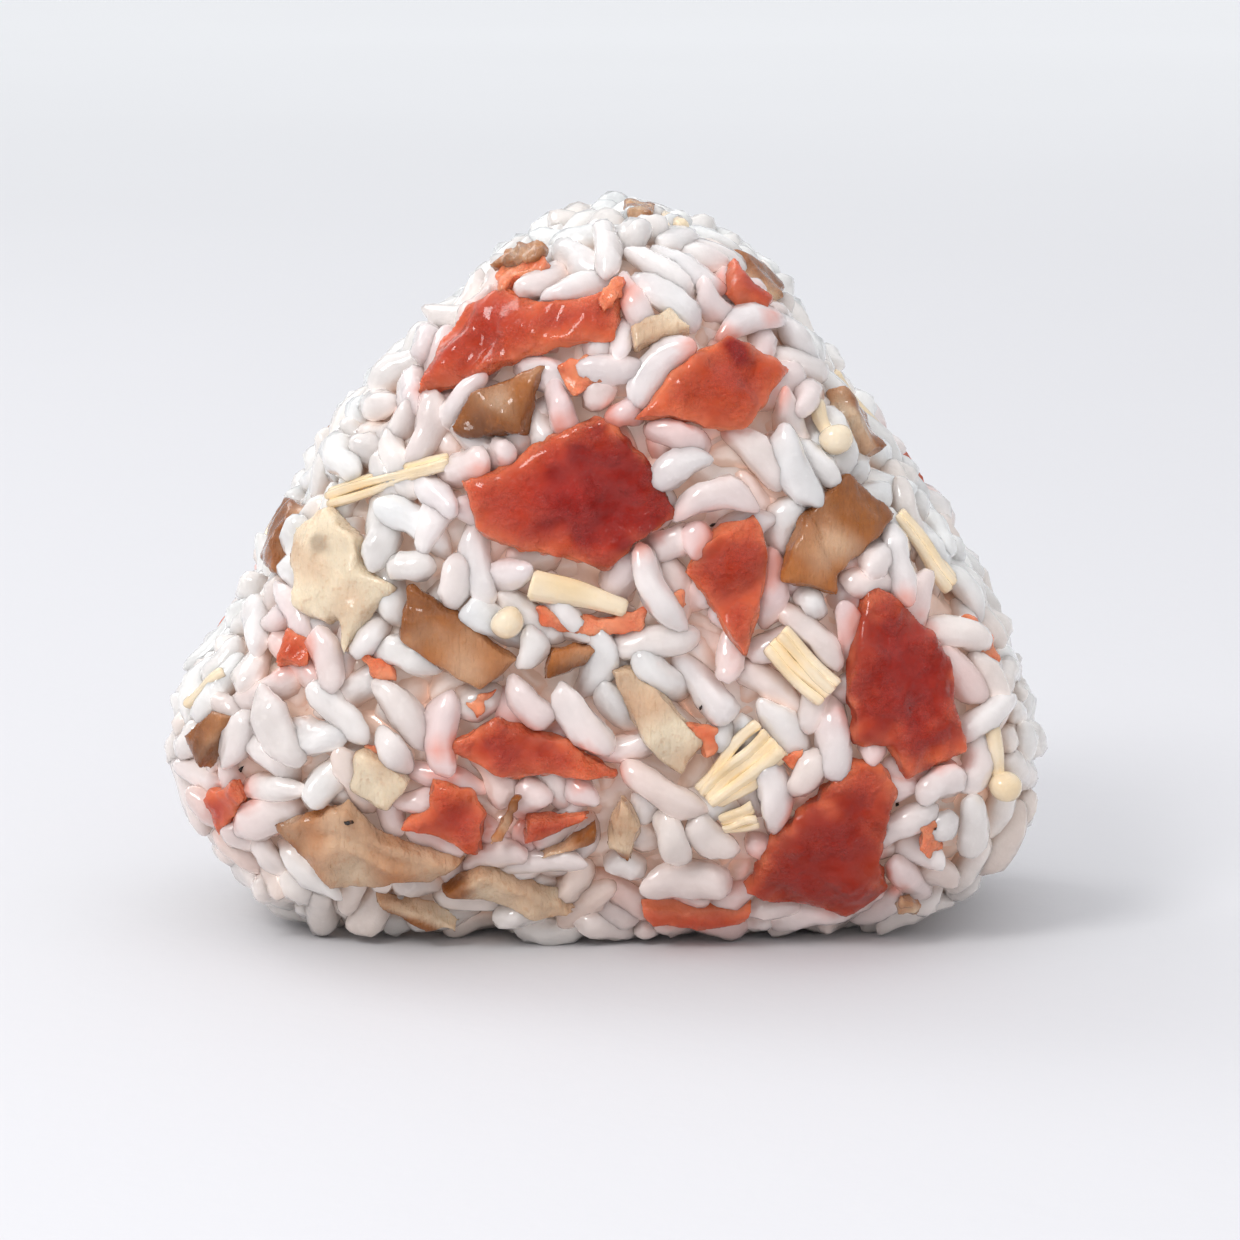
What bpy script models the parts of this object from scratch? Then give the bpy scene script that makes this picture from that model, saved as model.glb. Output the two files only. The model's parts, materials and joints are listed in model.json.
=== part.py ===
"""Onigiri: a hand-pressed triangle of cooked rice with pickled plum, sliced mushroom and enoki in it.

Metres, +Z up. The ball stands on a small flat base at z = 0, its broad front faces -Y, and the
origin is the centre of the base. The rice is one solid: a bumpy core with the grains that show
fused to it. Every larger piece of plum or mushroom and every enoki bundle is a solid of its own,
pressed against the bare core, and the grains keep clear of it.
"""

import math
import random
from collections import namedtuple

import bmesh
import bpy
import numpy as np
from mathutils import Matrix, Vector, noise
from mathutils.bvhtree import BVHTree
from mathutils.geometry import delaunay_2d_cdt

MM = 0.001

# Overall form: a small upright triangle, as thick as PLATE_HALF on both sides, swollen by a rounding
TRIANGLE = ((-0.0205, 0.0182), (0.0214, 0.0184), (0.0022, 0.0465))  # its corners, as (x, z)
ROUNDING = 0.0190  # radius of the rounded corners, seen from the front
FACE_ROUNDING = 0.0140  # how far the rounding reaches forwards and backwards
PLATE_HALF = 0.0090
HAND_WAVES = 0.0007  # unevenness left by the hands
CENTRE = (0.0, 0.0, 0.029)  # every ray from here meets the outside once

# Places that the hands pressed in, or left fuller: (x, z), how wide and how high, in millimetres
Press = namedtuple("Press", "place width height")
PRESSES = (
    Press((-25, 51), 7, 1.5),
    Press((-36, 29), 4.5, -2.0),
    Press((-38, 5), 7, -0.8),
    Press((39, 25), 5, -1.2),
    Press((38, 7), 6, 0.7),
    Press((33, 41), 5, 0.7),
)

# The core lies this far under the outside, which the grains reach
CORE_DEPTH = 0.0021
CORE_RELIEF = 0.0008  # hollows in the core, always inwards
CORE_RELIEF_SCALE = 210
CORE_SUBDIVISIONS = 3
BASE_RAMP = 0.0045  # height over which the core draws in from the base

# Cooked grains
GRAIN_LENGTH = 0.0074
GRAIN_WIDTH = 0.0035
GRAIN_THICKNESS = 0.0029
GRAIN_SIDES = 6
GRAIN_RINGS = (-0.27, 0.27)  # where the two rings are, as shares of the length
GRAIN_SPACING = 0.0050
GRAIN_RISE = 0.0006  # centre of a grain above the smooth core
GRAIN_TIP = 22  # a grain dips or rises along its length by up to this many degrees
GRAIN_CLEARANCE = 1.10  # a grain is tested against the other solids at this many times its size
GRAIN_TRIES = 16000
SHORTENED = (1.0,) * 4 + (0.8,) * 3 + (0.62,) * 3  # lengths tried in turn, each turned anew
SEED = 7

# Pieces pressed into the surface
CORE_GAP = 0.00045  # between the smooth core and a piece
EDGE_STEP = 0.0046  # longest straight run of an outline
INNER_STEP = 0.0048  # spacing of the points inside an outline
INNER_MARGIN = 0.0017  # those points stay this far from the outline
EDGE_CHAMFER = 0.0004
RAGGED = 0.0010  # how far an edge strays from its straight runs
RAGGED_SCALE = 420
FLOOR_CLEARANCE = 0.0007
WAVE = 0.00022  # waviness of a piece
WAVE_SCALE = 350
SIGHT = 0.060  # where the rays that lay a piece on the ball begin
SIGHT_STEPS = 181
HALVINGS = 40  # steps of a search for the outside

# Enoki stems and caps
STEM_SIDES = 6
STEM_RING_STEP = 0.003
STEM_HALF_HEIGHT = 0.0010  # a thicker stem is pressed flat to this
STEM_OVERLAP = 1.1  # radius of stems side by side, against half their share of the width
CAP_RADIUS = 0.00155

SMALL_SINK = 0.0016  # how deep a scrap goes in, so that it fuses with the rice

Style = namedtuple("Style", "thickness colour roughness")
STYLES = {
    "rice": Style(0.0, (0.86, 0.84, 0.79), 0.30),
    "plum": Style(0.0018, (0.55, 0.07, 0.03), 0.22),
    "mushroom": Style(0.0019, (0.50, 0.31, 0.15), 0.35),
    "enoki": Style(0.0, (0.85, 0.74, 0.47), 0.32),
}

# Where a list of pieces is drawn from: azimuth 0 is the front, elevation is above the horizon
FRONT, BACK, RIGHT, LEFT = (0, 10), (180, 10), (90, 12), (270, 12)

# Corners of each flat piece in millimetres, to the right and upwards as seen from its side
FLAT_PIECES = {
    FRONT: {
        "plum_top_left": [
            (-16.5, 47.5), (-14.5, 52.5), (-12, 55.5), (-8.5, 57), (-5.5, 55.5),
            (2, 56.5), (1.5, 51.5), (-3.5, 51.2), (-11.5, 48.3),
        ],
        "plum_upper_right": [(11.5, 52.5), (17.5, 49.5), (13, 43.5), (3, 44.5), (8, 50.5)],
        "plum_centre": [
            (-12.5, 39.5), (-1.5, 44.5), (0.5, 45), (4.5, 41), (7, 36),
            (3.5, 33.5), (1, 31), (-7.5, 33), (-11, 34.5),
        ],
        "plum_centre_right": [(7.5, 31), (10.5, 35), (14, 36.5), (15.2, 33.5), (14.6, 28.5), (13, 23)],
        "plum_right_upper": [
            (24, 31), (28, 28.5), (32, 24), (32.5, 19.5), (33.5, 15),
            (27.5, 12.5), (26, 15.5), (22.5, 15.7), (22, 20.5), (23, 26.5),
        ],
        "plum_right_lower": [
            (22.5, 14.6), (25.4, 14.3), (27, 11.5), (25.5, 5), (26.5, 2), (22.5, 0), (20, 0.5),
            (13, 2.2), (15.5, 7.5),
        ],
        "plum_low_upper": [(-14.5, 15.5), (-9, 18.5), (-2.5, 16.5), (2, 13.5), (1.5, 12.5), (-8.5, 12.5)],
        "plum_low_left": [(-18, 8), (-15.5, 10.5), (-15, 13), (-11.5, 12), (-10, 9.5), (-10.5, 5.5)],
        "plum_low_edge": [(-36.5, 11), (-33, 12.5), (-32, 10.5), (-34.5, 7)],
        "plum_left_small": [(-28.4, 26.6), (-25.9, 25.5), (-26.3, 22.8), (-29.4, 23)],
        "plum_foot": [(3.5, 1), (14, 1.2), (13, -0.4), (4.5, -0.5)],
        "plum_low_small": [(-6.5, 9.5), (-0.5, 9.5), (-2.5, 8), (-7, 6.5)],
        "plum_ridge": [(11.6, 59.8), (13.4, 57.9), (15.8, 55.6), (14.8, 54.4), (11.8, 56.4)],
        "mushroom_cap_upper": [(-11.5, 47.3), (-4.5, 49.9), (-6.5, 43.2), (-12, 43), (-13.5, 44)],
        "mushroom_cap_right": [(22, 40.5), (27, 36.5), (21.5, 31), (21.5, 29), (15.9, 30.2), (18, 36)],
        "mushroom_fork": [
            (-24.5, 37.5), (-27.5, 35.5), (-28, 33), (-27.5, 28), (-24.5, 26.5), (-23.5, 27.5),
            (-23, 23.5), (-20, 28), (-18, 30), (-21.5, 32), (-21.5, 34.5),
        ],
        "mushroom_left_cap": [(-29, 38.5), (-27.6, 38), (-28.9, 34), (-29.3, 31), (-31.3, 32.5)],
        "mushroom_mid_left": [(-17, 30.5), (-11.5, 27), (-7, 23.5), (-10.5, 20.5), (-18, 25)],
        "mushroom_mid_small": [(-4.5, 24.5), (-0.5, 25), (0.3, 24), (-2.5, 22), (-5, 21.5)],
        "mushroom_stem": [(0.8, 22.6), (2.8, 23), (7.5, 18.5), (9.5, 16), (7.3, 12.8), (4, 15.5)],
        "mushroom_pale": [(2.5, 53), (6.5, 55), (8.5, 52.5), (5, 51.5), (3, 50.5)],
        "mushroom_low_left": [(-29.5, 8.5), (-22.5, 10.5), (-19.5, 7.5), (-12, 5), (-15, 3), (-24.5, 2.5)],
        "mushroom_low_rim": [(-20.4, 1.8), (-15.2, 0.8), (-12.6, -0.4), (-15.5, -0.6), (-19.5, 0.2)],
        "mushroom_foot": [(-14.5, 2), (-10.5, 4.5), (-3.5, 1.8), (-2, 0.4), (-5.5, 0), (-11, 1.5)],
        "mushroom_tip": [(2, 11.5), (4, 8.5), (3, 5), (0.5, 6.2)],
        "mushroom_pink": [(-22, 15.5), (-20.5, 15.5), (-16.5, 12.5), (-18.8, 9.4), (-22.5, 11.6)],
        "mushroom_left_edge": [(-37.5, 16.5), (-35.2, 19.2), (-33, 18.5), (-36, 13)],
        "mushroom_ridge": [(11.6, 61), (14.6, 60), (17, 57.5), (16.6, 56), (13.8, 58.6)],
        "mushroom_slope": [(21.5, 48.5), (24.5, 46), (26, 42.5), (24.3, 42), (22.2, 45.5)],
        "mushroom_curl": [(-0.3, 8.8), (0, 7), (-2.3, 5.8), (-6, 5.4), (-3, 6.9)],
    },
    BACK: {
        "plum_back_top": [(-14, 46), (-6, 52), (2, 49), (-2, 42), (-10, 40)],
        "plum_back_right": [(6, 34), (14, 40), (19, 34), (12, 27)],
        "plum_back_left": [(-25, 24), (-17, 29), (-10, 25), (-13, 17), (-21, 16)],
        "plum_back_low": [(4, 16), (12, 20), (22, 15), (17, 7), (8, 6)],
        "mushroom_back_top": [(4, 58), (10, 56), (8.5, 50), (4, 51)],
        "mushroom_back_left": [(-24, 39), (-16, 41), (-14, 35), (-20, 31)],
        "mushroom_back_mid": [(-7, 36), (2, 38), (4, 33), (-5, 29)],
        "mushroom_back_right": [(14, 49), (20, 44), (18, 38.5), (12.5, 43)],
        "mushroom_back_low": [(-28, 12), (-19, 13), (-12, 7), (-20, 4)],
    },
    RIGHT: {
        "plum_side_right": [(9.5, 35), (15, 40.5), (19.5, 33), (18, 29), (13, 28)],
        "mushroom_side_right": [(10, 17), (17, 20), (20, 14), (16.5, 9), (12, 9.5)],
    },
    LEFT: {
        "plum_side_left": [(-20, 18), (-15.5, 23.5), (-11, 22), (-10, 15), (-16.5, 12)],
        "mushroom_side_left": [(-15.5, 39), (-12.5, 42), (-9.5, 40.5), (-9.5, 34.5), (-14, 32.5)],
    },
}

# Enoki in millimetres: the ends of the middle line, how many stems, the width at both ends, and a cap or not
Bunch = namedtuple("Bunch", "start end stems start_width end_width cap")
BUNCHES = {
    FRONT: {
        "enoki_left": Bunch((-25, 38.3), (-13.6, 41.2), 2, 2.2, 1.6, False),
        "enoki_segment": Bunch((-6, 30.3), (2.5, 28), 1, 3.0, 1.7, False),
        "enoki_right": Bunch((15.6, 25.2), (20.6, 20.4), 2, 3.4, 3.4, False),
        "enoki_fan": Bunch((15.5, 16.3), (9.6, 10.8), 3, 5.2, 3.6, False),
        "enoki_short": Bunch((14, 9.3), (11, 8.3), 2, 3.0, 2.0, False),
        "enoki_slope": Bunch((19.8, 46.8), (21, 43.2), 1, 1.5, 1.4, True),
        "enoki_slope_low": Bunch((27.6, 37), (32.5, 30.5), 2, 2.0, 2.6, False),
        "enoki_edge": Bunch((35.9, 17.5), (36.5, 12.2), 1, 1.7, 1.6, True),
    },
    BACK: {
        "enoki_back_right": Bunch((21, 30), (27, 24), 3, 4.6, 3.8, False),
        "enoki_back_low": Bunch((-8, 12), (0, 11), 2, 3.2, 2.6, False),
    },
    RIGHT: {
        "enoki_side_right": Bunch((0, 45), (4.5, 38.5), 2, 3.0, 2.6, False),
    },
    LEFT: {
        "enoki_side_left": Bunch((-9, 31.5), (-4, 26), 2, 2.8, 3.2, False),
    },
}

# Scraps on the front under 5 mm, fused to the rice: slivers of mushroom by their corners, enoki by its ends
SLIVERS = [
    [(-9.5, 58.2), (-7, 60.2), (-4.5, 60.2), (-5, 58.7)],
    [(27.2, 2.2), (29.2, 1.6), (28.2, 0.6), (26.9, 1)],
    [(-7.6, 11.3), (-6.8, 11.5), (-8.6, 7.5), (-9.6, 7.5)],
    [(2.3, 65), (5, 64.4), (4.6, 63.2), (2.6, 63.4)],
]
THIN_STEMS = [
    Bunch((-37.5, 19.4), (-34, 22.4), 1, 1.2, 1.2, False),
    Bunch((5.4, 64.6), (7.6, 62.6), 1, 1.2, 1.4, False),
    Bunch((-8.8, 27.6), (-8.2, 26.9), 1, 1.6, 1.6, True),
]


def clear_scene():
    for item in list(bpy.data.objects):
        bpy.data.objects.remove(item)


def finish(name, style):
    """A material of the object's own."""
    made = bpy.data.materials.new(name)
    made.use_nodes = True
    shader = made.node_tree.nodes["Principled BSDF"]
    shader.inputs["Base Color"].default_value = (*style.colour, 1.0)
    shader.inputs["Roughness"].default_value = style.roughness
    shader.inputs["Metallic"].default_value = 0.0
    return made


def add_object(name, shape, collection):
    """Turns a bmesh into a named object."""
    mesh = bpy.data.meshes.new(name)
    shape.to_mesh(mesh)
    shape.free()
    made = bpy.data.objects.new(name, mesh)
    collection.objects.link(made)
    return made


def distance_to_triangle(flat):
    """Distance of (x, z) points from the filled inner triangle, 0 inside it."""
    corners = np.array(TRIANGLE)
    nearest = np.full(len(flat), np.inf)
    inside = np.ones(len(flat), bool)
    for first, second in zip(corners, np.roll(corners, -1, axis=0)):
        along = second - first
        offset = flat - first
        share = np.clip(offset @ along / (along @ along), 0, 1)
        nearest = np.minimum(nearest, np.linalg.norm(offset - share[:, None] * along, axis=1))
        inside &= along[0] * offset[:, 1] - along[1] * offset[:, 0] >= 0
    return np.where(inside, 0.0, nearest)


def hand_waves(points):
    """Smooth unevenness between -1 and 1, a few centimetres from crest to crest."""
    x, y, z = points.T / MM
    return (
        np.sin(x / 6.1 + z / 9.3 + 0.6)
        + np.sin(z / 5.2 - y / 8.1 + 2.1)
        + np.sin(y / 6.6 + x / 10.4 + 4.0)
    ) / 3


def pressed(points):
    """How much further out the outside is because of the presses, which run through the depth."""
    height = np.zeros(len(points))
    for press in PRESSES:
        away = np.linalg.norm(points[:, [0, 2]] / MM - np.array(press.place), axis=1)
        height += press.height * np.exp(-((away / press.width) ** 2) / 2)
    return height * MM


def outside(points):
    """Signed measure of the whole ball: below 0 inside, 0 on the outside."""
    forwards = np.maximum(np.abs(points[:, 1]) - PLATE_HALF, 0) * ROUNDING / FACE_ROUNDING
    reach = np.hypot(distance_to_triangle(points[:, [0, 2]]), forwards)
    return reach - ROUNDING - HAND_WAVES * hand_waves(points) - pressed(points)


def outward(points):
    """Unit normals of the outside near these points."""
    step = 0.02 * MM
    slopes = [outside(points + step * axis) - outside(points - step * axis) for axis in np.eye(3)]
    slopes = np.stack(slopes, axis=1)
    return slopes / np.linalg.norm(slopes, axis=1)[:, None]


def meet_outside(starts, ends):
    """Where the lines from starts, outside the ball, to ends, inside it, cross the outside."""
    low, high = np.zeros(len(starts)), np.ones(len(starts))
    for _ in range(HALVINGS):
        middle = (low + high) / 2
        out = outside(starts + middle[:, None] * (ends - starts)) > 0
        low, high = np.where(out, middle, low), np.where(out, high, middle)
    return starts + high[:, None] * (ends - starts)


def on_outside(directions):
    """Points of the outside in these directions from the centre."""
    centre = np.array(CENTRE)
    unit = directions / np.linalg.norm(directions, axis=1)[:, None]
    return meet_outside(centre + SIGHT * unit, np.tile(centre, (len(unit), 1)))


def sight_frame(side):
    """Unit vectors to the right, upwards and towards the eye, for something seen from a side."""
    azimuth, elevation = (math.radians(angle) for angle in side)
    right = np.array([math.cos(azimuth), math.sin(azimuth), 0])
    level = np.array([math.sin(azimuth), -math.cos(azimuth), 0])
    back = level * math.cos(elevation) + np.array([0, 0, math.sin(elevation)])
    return right, np.cross(back, right), back


def lay_on(side, corners):
    """Carries flat points, in metres as seen from a side, along the line of sight onto the outside.

    Where the line passes beside the ball, the point goes to the nearest place on its edge.
    """
    right, up, back = sight_frame(side)
    flat = np.asarray(corners, float)
    plane = flat[:, :1] * right + flat[:, 1:] * up
    steps = np.linspace(SIGHT, -SIGHT / 2, SIGHT_STEPS)
    depth = np.stack([outside(plane + step * back) for step in steps])
    first = np.argmax(depth < 0, axis=0)
    misses = ~(depth < 0).any(axis=0)
    first[misses] = np.argmin(depth[:, misses], axis=0)
    ends = plane + steps[first][:, None] * back
    starts = ends + (steps[0] - steps[1]) * back
    met = meet_outside(starts, ends)
    if misses.any():
        met[misses] = on_outside(ends[misses] - np.array(CENTRE))
    return met


def core_depth(points):
    """How far under the outside the smooth core lies: nothing at the base, all of it above."""
    return CORE_DEPTH * np.clip(points[:, 2:] / BASE_RAMP, 0, 1)


def above_core(points, height):
    """Moves points of the outside to a height above the smooth core, clear of the floor."""
    moved = points + (height - core_depth(points)) * outward(points)
    moved[:, 2] = np.maximum(moved[:, 2], FLOOR_CLEARANCE)
    return moved


def resampled(corners):
    """The outline counter-clockwise, its long runs cut into shorter ones that stray a little."""
    points = [Vector(corner) for corner in corners]
    area = sum(a.x * b.y - b.x * a.y for a, b in zip(points, points[1:] + points[:1]))
    if area < 0:
        points.reverse()
    made = []
    for first, second in zip(points, points[1:] + points[:1]):
        runs = max(1, math.ceil((second - first).length / EDGE_STEP))
        sideways = Vector((second.y - first.y, first.x - second.x)).normalized()
        made.append(first)
        for i in range(1, runs):
            point = first.lerp(second, i / runs)
            made.append(point + sideways * RAGGED * noise.noise(Vector((*point, 0)) * RAGGED_SCALE))
    return made


def inset(outline, amount):
    """The outline drawn in by an amount along its inward normals."""
    moved = []
    for before, point, after in zip(outline[-1:] + outline[:-1], outline, outline[1:] + outline[:1]):
        along = (after - before).normalized()
        moved.append(point + amount * Vector((-along.y, along.x)))
    return moved


def is_well_inside(point, outline):
    crossings, nearest = 0, math.inf
    for first, second in zip(outline, outline[1:] + outline[:1]):
        along = second - first
        share = min(1, max(0, (point - first).dot(along) / along.length_squared))
        nearest = min(nearest, (first + share * along - point).length)
        if (first.y > point.y) != (second.y > point.y):
            crossings += point.x < first.x + (point.y - first.y) / along.y * along.x
    return crossings % 2 == 1 and nearest > INNER_MARGIN


def inner_points(outline):
    """A staggered grid of points well inside the outline."""
    low = Vector((min(p.x for p in outline), min(p.y for p in outline)))
    high = Vector((max(p.x for p in outline), max(p.y for p in outline)))
    rows = math.ceil((high.y - low.y) / INNER_STEP * 2 / math.sqrt(3))
    columns = math.ceil((high.x - low.x) / INNER_STEP)
    made = []
    for row in range(rows):
        for column in range(columns):
            x = low.x + INNER_STEP * (0.5 + column + 0.5 * (row % 2))
            y = low.y + INNER_STEP * (0.5 + row * math.sqrt(3) / 2)
            if is_well_inside(Vector((x, y)), outline):
                made.append(Vector((x, y)))
    return made


def flat_piece(side, corners, thickness):
    """A thin wavy slab of this outline, pressed against the core. Both faces are split alike."""
    outline = resampled([(x * MM, z * MM) for x, z in corners])
    count = len(outline)
    flat = outline + inner_points(outline)
    _, _, faces, *_ = delaunay_2d_cdt(flat, [], [list(range(count))], 1, 1e-7)
    top_flat = inset(outline, EDGE_CHAMFER) + flat[count:]
    laid = lay_on(side, [tuple(p) for p in flat])
    laid_top = lay_on(side, [tuple(p) for p in top_flat])
    waves = np.array([[WAVE * (1 + noise.noise(Vector(p) * WAVE_SCALE))] for p in laid])
    shape = bmesh.new()
    under = [shape.verts.new(p) for p in above_core(laid, CORE_GAP + waves)]
    over = [shape.verts.new(p) for p in above_core(laid_top, CORE_GAP + waves + thickness)]
    for face in faces:
        shape.faces.new([over[i] for i in face])
        shape.faces.new([under[i] for i in reversed(face)])
    for i in range(count):
        j = (i + 1) % count
        shape.faces.new((under[i], under[j], over[j]))
        shape.faces.new((under[i], over[j], over[i]))
    bmesh.ops.recalc_face_normals(shape, faces=shape.faces)
    return shape


def bunch_section(stems, width):
    """Outline of stems side by side, scalloped where there are several, as (across, up) pairs."""
    if stems == 1:
        height = min(width / 2, STEM_HALF_HEIGHT)
        turns = [2 * math.pi * i / STEM_SIDES for i in range(STEM_SIDES)]
        return [(width / 2 * math.cos(turn), height * math.sin(turn)) for turn in turns]
    radius = STEM_OVERLAP * width / stems / 2
    across, up = 0.6 * radius, 0.8 * radius  # a point of a circle of that radius
    middles = np.linspace(radius - width / 2, width / 2 - radius, stems)
    over = [(middle + side * across, up) for middle in middles[::-1] for side in (1, -1)]
    under = [(middle + side * across, -up) for middle in middles for side in (-1, 1)]
    return [(width / 2, 0), *over, (-width / 2, 0), *under]


def join_rings(shape, rings):
    """Skins a row of equal rings of vertices."""
    for first, second in zip(rings, rings[1:]):
        for i in range(len(first)):
            j = (i + 1) % len(first)
            shape.faces.new((first[i], first[j], second[j], second[i]))


def bunch_piece(side, bunch):
    """Enoki stems side by side, laid on the core along a line."""
    start, end = (np.array(point) * MM for point in (bunch.start, bunch.end))
    count = max(2, math.ceil(np.linalg.norm(end - start) / STEM_RING_STEP)) + 1
    shares = np.linspace(0, 1, count)
    laid = lay_on(side, start + shares[:, None] * (end - start))
    normals = outward(laid)
    shape = bmesh.new()
    rings = []
    for k, share in enumerate(shares):
        width = MM * (bunch.start_width + share * (bunch.end_width - bunch.start_width))
        section = bunch_section(bunch.stems, width)
        rise = max(up for _, up in section)
        along = laid[min(k + 1, count - 1)] - laid[max(k - 1, 0)]
        across = np.cross(along, normals[k])
        across /= np.linalg.norm(across)
        middle = above_core(laid[k : k + 1], CORE_GAP + WAVE + rise)[0]
        ring = np.array([middle + a * across + u * normals[k] for a, u in section])
        ring[:, 2] = np.maximum(ring[:, 2], FLOOR_CLEARANCE)
        rings.append([shape.verts.new(point) for point in ring])
    join_rings(shape, rings)
    shape.faces.new(rings[0][::-1])
    shape.faces.new(rings[-1])
    bmesh.ops.recalc_face_normals(shape, faces=shape.faces)
    bmesh.ops.triangulate(shape, faces=shape.faces)
    return shape


def cap_ball(side, bunch):
    """The round cap at the end of a stem."""
    laid = lay_on(side, [np.array(bunch.end) * MM])
    middle = above_core(laid, CORE_GAP + WAVE + CAP_RADIUS)[0]
    shape = bmesh.new()
    place = Matrix.Translation(middle)
    bmesh.ops.create_icosphere(shape, subdivisions=1, radius=CAP_RADIUS, matrix=place)
    return shape


def fuse(target, shapes, solver="EXACT"):
    """Joins shapes to the target with one Boolean union, applied, and empties its collection."""
    group = bpy.data.collections.new("to_fuse")
    for i, shape in enumerate(shapes):
        add_object(f"to_fuse_{i}", shape, group)
    bpy.context.scene.collection.children.link(group)
    union = target.modifiers.new("union", "BOOLEAN")
    union.operation = "UNION"
    union.solver = solver
    union.operand_type = "COLLECTION"
    union.collection = group
    bpy.context.view_layer.update()
    graph = bpy.context.evaluated_depsgraph_get()
    joined = bpy.data.meshes.new_from_object(target.evaluated_get(graph))
    target.modifiers.clear()
    target.data = joined
    for item in list(group.objects):
        bpy.data.objects.remove(item)
    bpy.data.collections.remove(group)


def keep_largest_body(target):
    """Drops loose scraps of a mesh."""
    shape = bmesh.new()
    shape.from_mesh(target.data)
    unseen, bodies = set(shape.verts), []
    while unseen:
        body, reached = set(), [unseen.pop()]
        while reached:
            vert = reached.pop()
            body.add(vert)
            near = {edge.other_vert(vert) for edge in vert.link_edges} & unseen
            unseen -= near
            reached += near
        bodies.append(body)
    largest = max(bodies, key=len)
    scraps = [vert for vert in shape.verts if vert not in largest]
    bmesh.ops.delete(shape, geom=scraps, context="VERTS")
    shape.to_mesh(target.data)
    shape.free()


def build_pieces():
    """All plum, mushroom and enoki pieces, each one object."""
    scene = bpy.context.scene.collection
    made = []
    for side, pieces in FLAT_PIECES.items():
        for name, corners in pieces.items():
            style = STYLES[name.split("_")[0]]
            piece = add_object(name, flat_piece(side, corners, style.thickness), scene)
            piece.data.materials.append(finish(name, style))
            made.append(piece)
    for side, bunches in BUNCHES.items():
        for name, bunch in bunches.items():
            piece = add_object(name, bunch_piece(side, bunch), scene)
            if bunch.cap:
                fuse(piece, [cap_ball(side, bunch)])
            piece.data.shade_smooth()
            piece.data.materials.append(finish(name, STYLES["enoki"]))
            made.append(piece)
    return made


def core_shape():
    """The bare core: smooth depth under the outside, with hollows of a grain's size, cut flat at z = 0."""
    shape = bmesh.new()
    bmesh.ops.create_icosphere(shape, subdivisions=CORE_SUBDIVISIONS, radius=1.0)
    points = on_outside(np.array([vert.co for vert in shape.verts]))
    hollows = np.array([abs(noise.noise(Vector(p) * CORE_RELIEF_SCALE)) for p in points])
    relief = 1 + CORE_RELIEF / CORE_DEPTH * np.minimum(hollows * 2, 1)
    depth = core_depth(points) * relief[:, None]
    for vert, point in zip(shape.verts, points - depth * outward(points)):
        vert.co = point
    bmesh.ops.bisect_plane(
        shape,
        geom=[*shape.verts, *shape.edges, *shape.faces],
        dist=0.00005,
        plane_co=(0, 0, 0),
        plane_no=(0, 0, 1),
        clear_inner=True,
    )
    rim = [edge for edge in shape.edges if edge.is_boundary]
    bmesh.ops.contextual_create(shape, geom=rim)
    bmesh.ops.recalc_face_normals(shape, faces=shape.faces)
    return shape


def grain_shape(length, width, thickness, place):
    """A plain grain: two rings and its two ends."""
    shape = bmesh.new()
    turns = [2 * math.pi * (i + 0.5) / GRAIN_SIDES for i in range(GRAIN_SIDES)]
    section = [(width / 2 * math.cos(turn), thickness / 2 * math.sin(turn)) for turn in turns]
    rings = [[shape.verts.new((along * length, *point)) for point in section] for along in GRAIN_RINGS]
    join_rings(shape, rings)
    for end, ring in ((-0.5, rings[0]), (0.5, rings[1])):
        tip = shape.verts.new((end * length, 0, 0))
        for i in range(GRAIN_SIDES):
            shape.faces.new((tip, ring[i], ring[(i + 1) % GRAIN_SIDES]))
    bmesh.ops.recalc_face_normals(shape, faces=shape.faces)
    bmesh.ops.triangulate(shape, faces=shape.faces)
    shape.transform(place)
    return shape


def grain_place(middle, normal, draw):
    """A matrix that lays a grain along the surface, turned and tipped at random."""
    normal = Vector(normal)
    sideways = normal.orthogonal().normalized()
    sideways.rotate(Matrix.Rotation(draw.uniform(0, 2 * math.pi), 3, normal))
    turn = Matrix((sideways, normal.cross(sideways), normal)).transposed()
    tip = Matrix.Rotation(math.radians(draw.uniform(-GRAIN_TIP, GRAIN_TIP)), 3, "Y")
    return Matrix.Translation(middle) @ (turn @ tip).to_4x4()


def is_clear(tested, others):
    """Whether this shape stays above the floor and off the other solids."""
    low = min(vert.co.z for vert in tested.verts)
    tree = BVHTree.FromBMesh(tested)
    tested.free()
    return low > 0 and not any(tree.overlap(other) for other in others)


def grain_shapes(pieces):
    """Grains spread evenly over the ball, clear of the pieces and of the floor."""
    draw = random.Random(SEED)
    graph = bpy.context.evaluated_depsgraph_get()
    others = [BVHTree.FromObject(piece, graph) for piece in pieces]
    skin = on_outside(np.array([[draw.gauss(0, 1) for _ in range(3)] for _ in range(GRAIN_TRIES)]))
    normals = outward(skin)
    middles = skin + (GRAIN_RISE - core_depth(skin)) * normals
    taken = np.empty((0, 3))
    made = []
    for middle, normal in zip(middles, normals):
        if len(taken) and np.linalg.norm(taken - middle, axis=1).min() < GRAIN_SPACING:
            continue
        for shortened in SHORTENED:
            size = draw.uniform(0.92, 1.06)
            place = grain_place(middle, normal, draw)
            sizes = (GRAIN_LENGTH * size * shortened, GRAIN_WIDTH * size, GRAIN_THICKNESS * size)
            if is_clear(grain_shape(*[s * GRAIN_CLEARANCE for s in sizes], place), others):
                taken = np.vstack([taken, middle])
                made.append(grain_shape(*sizes, place))
                break
    return made


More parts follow.
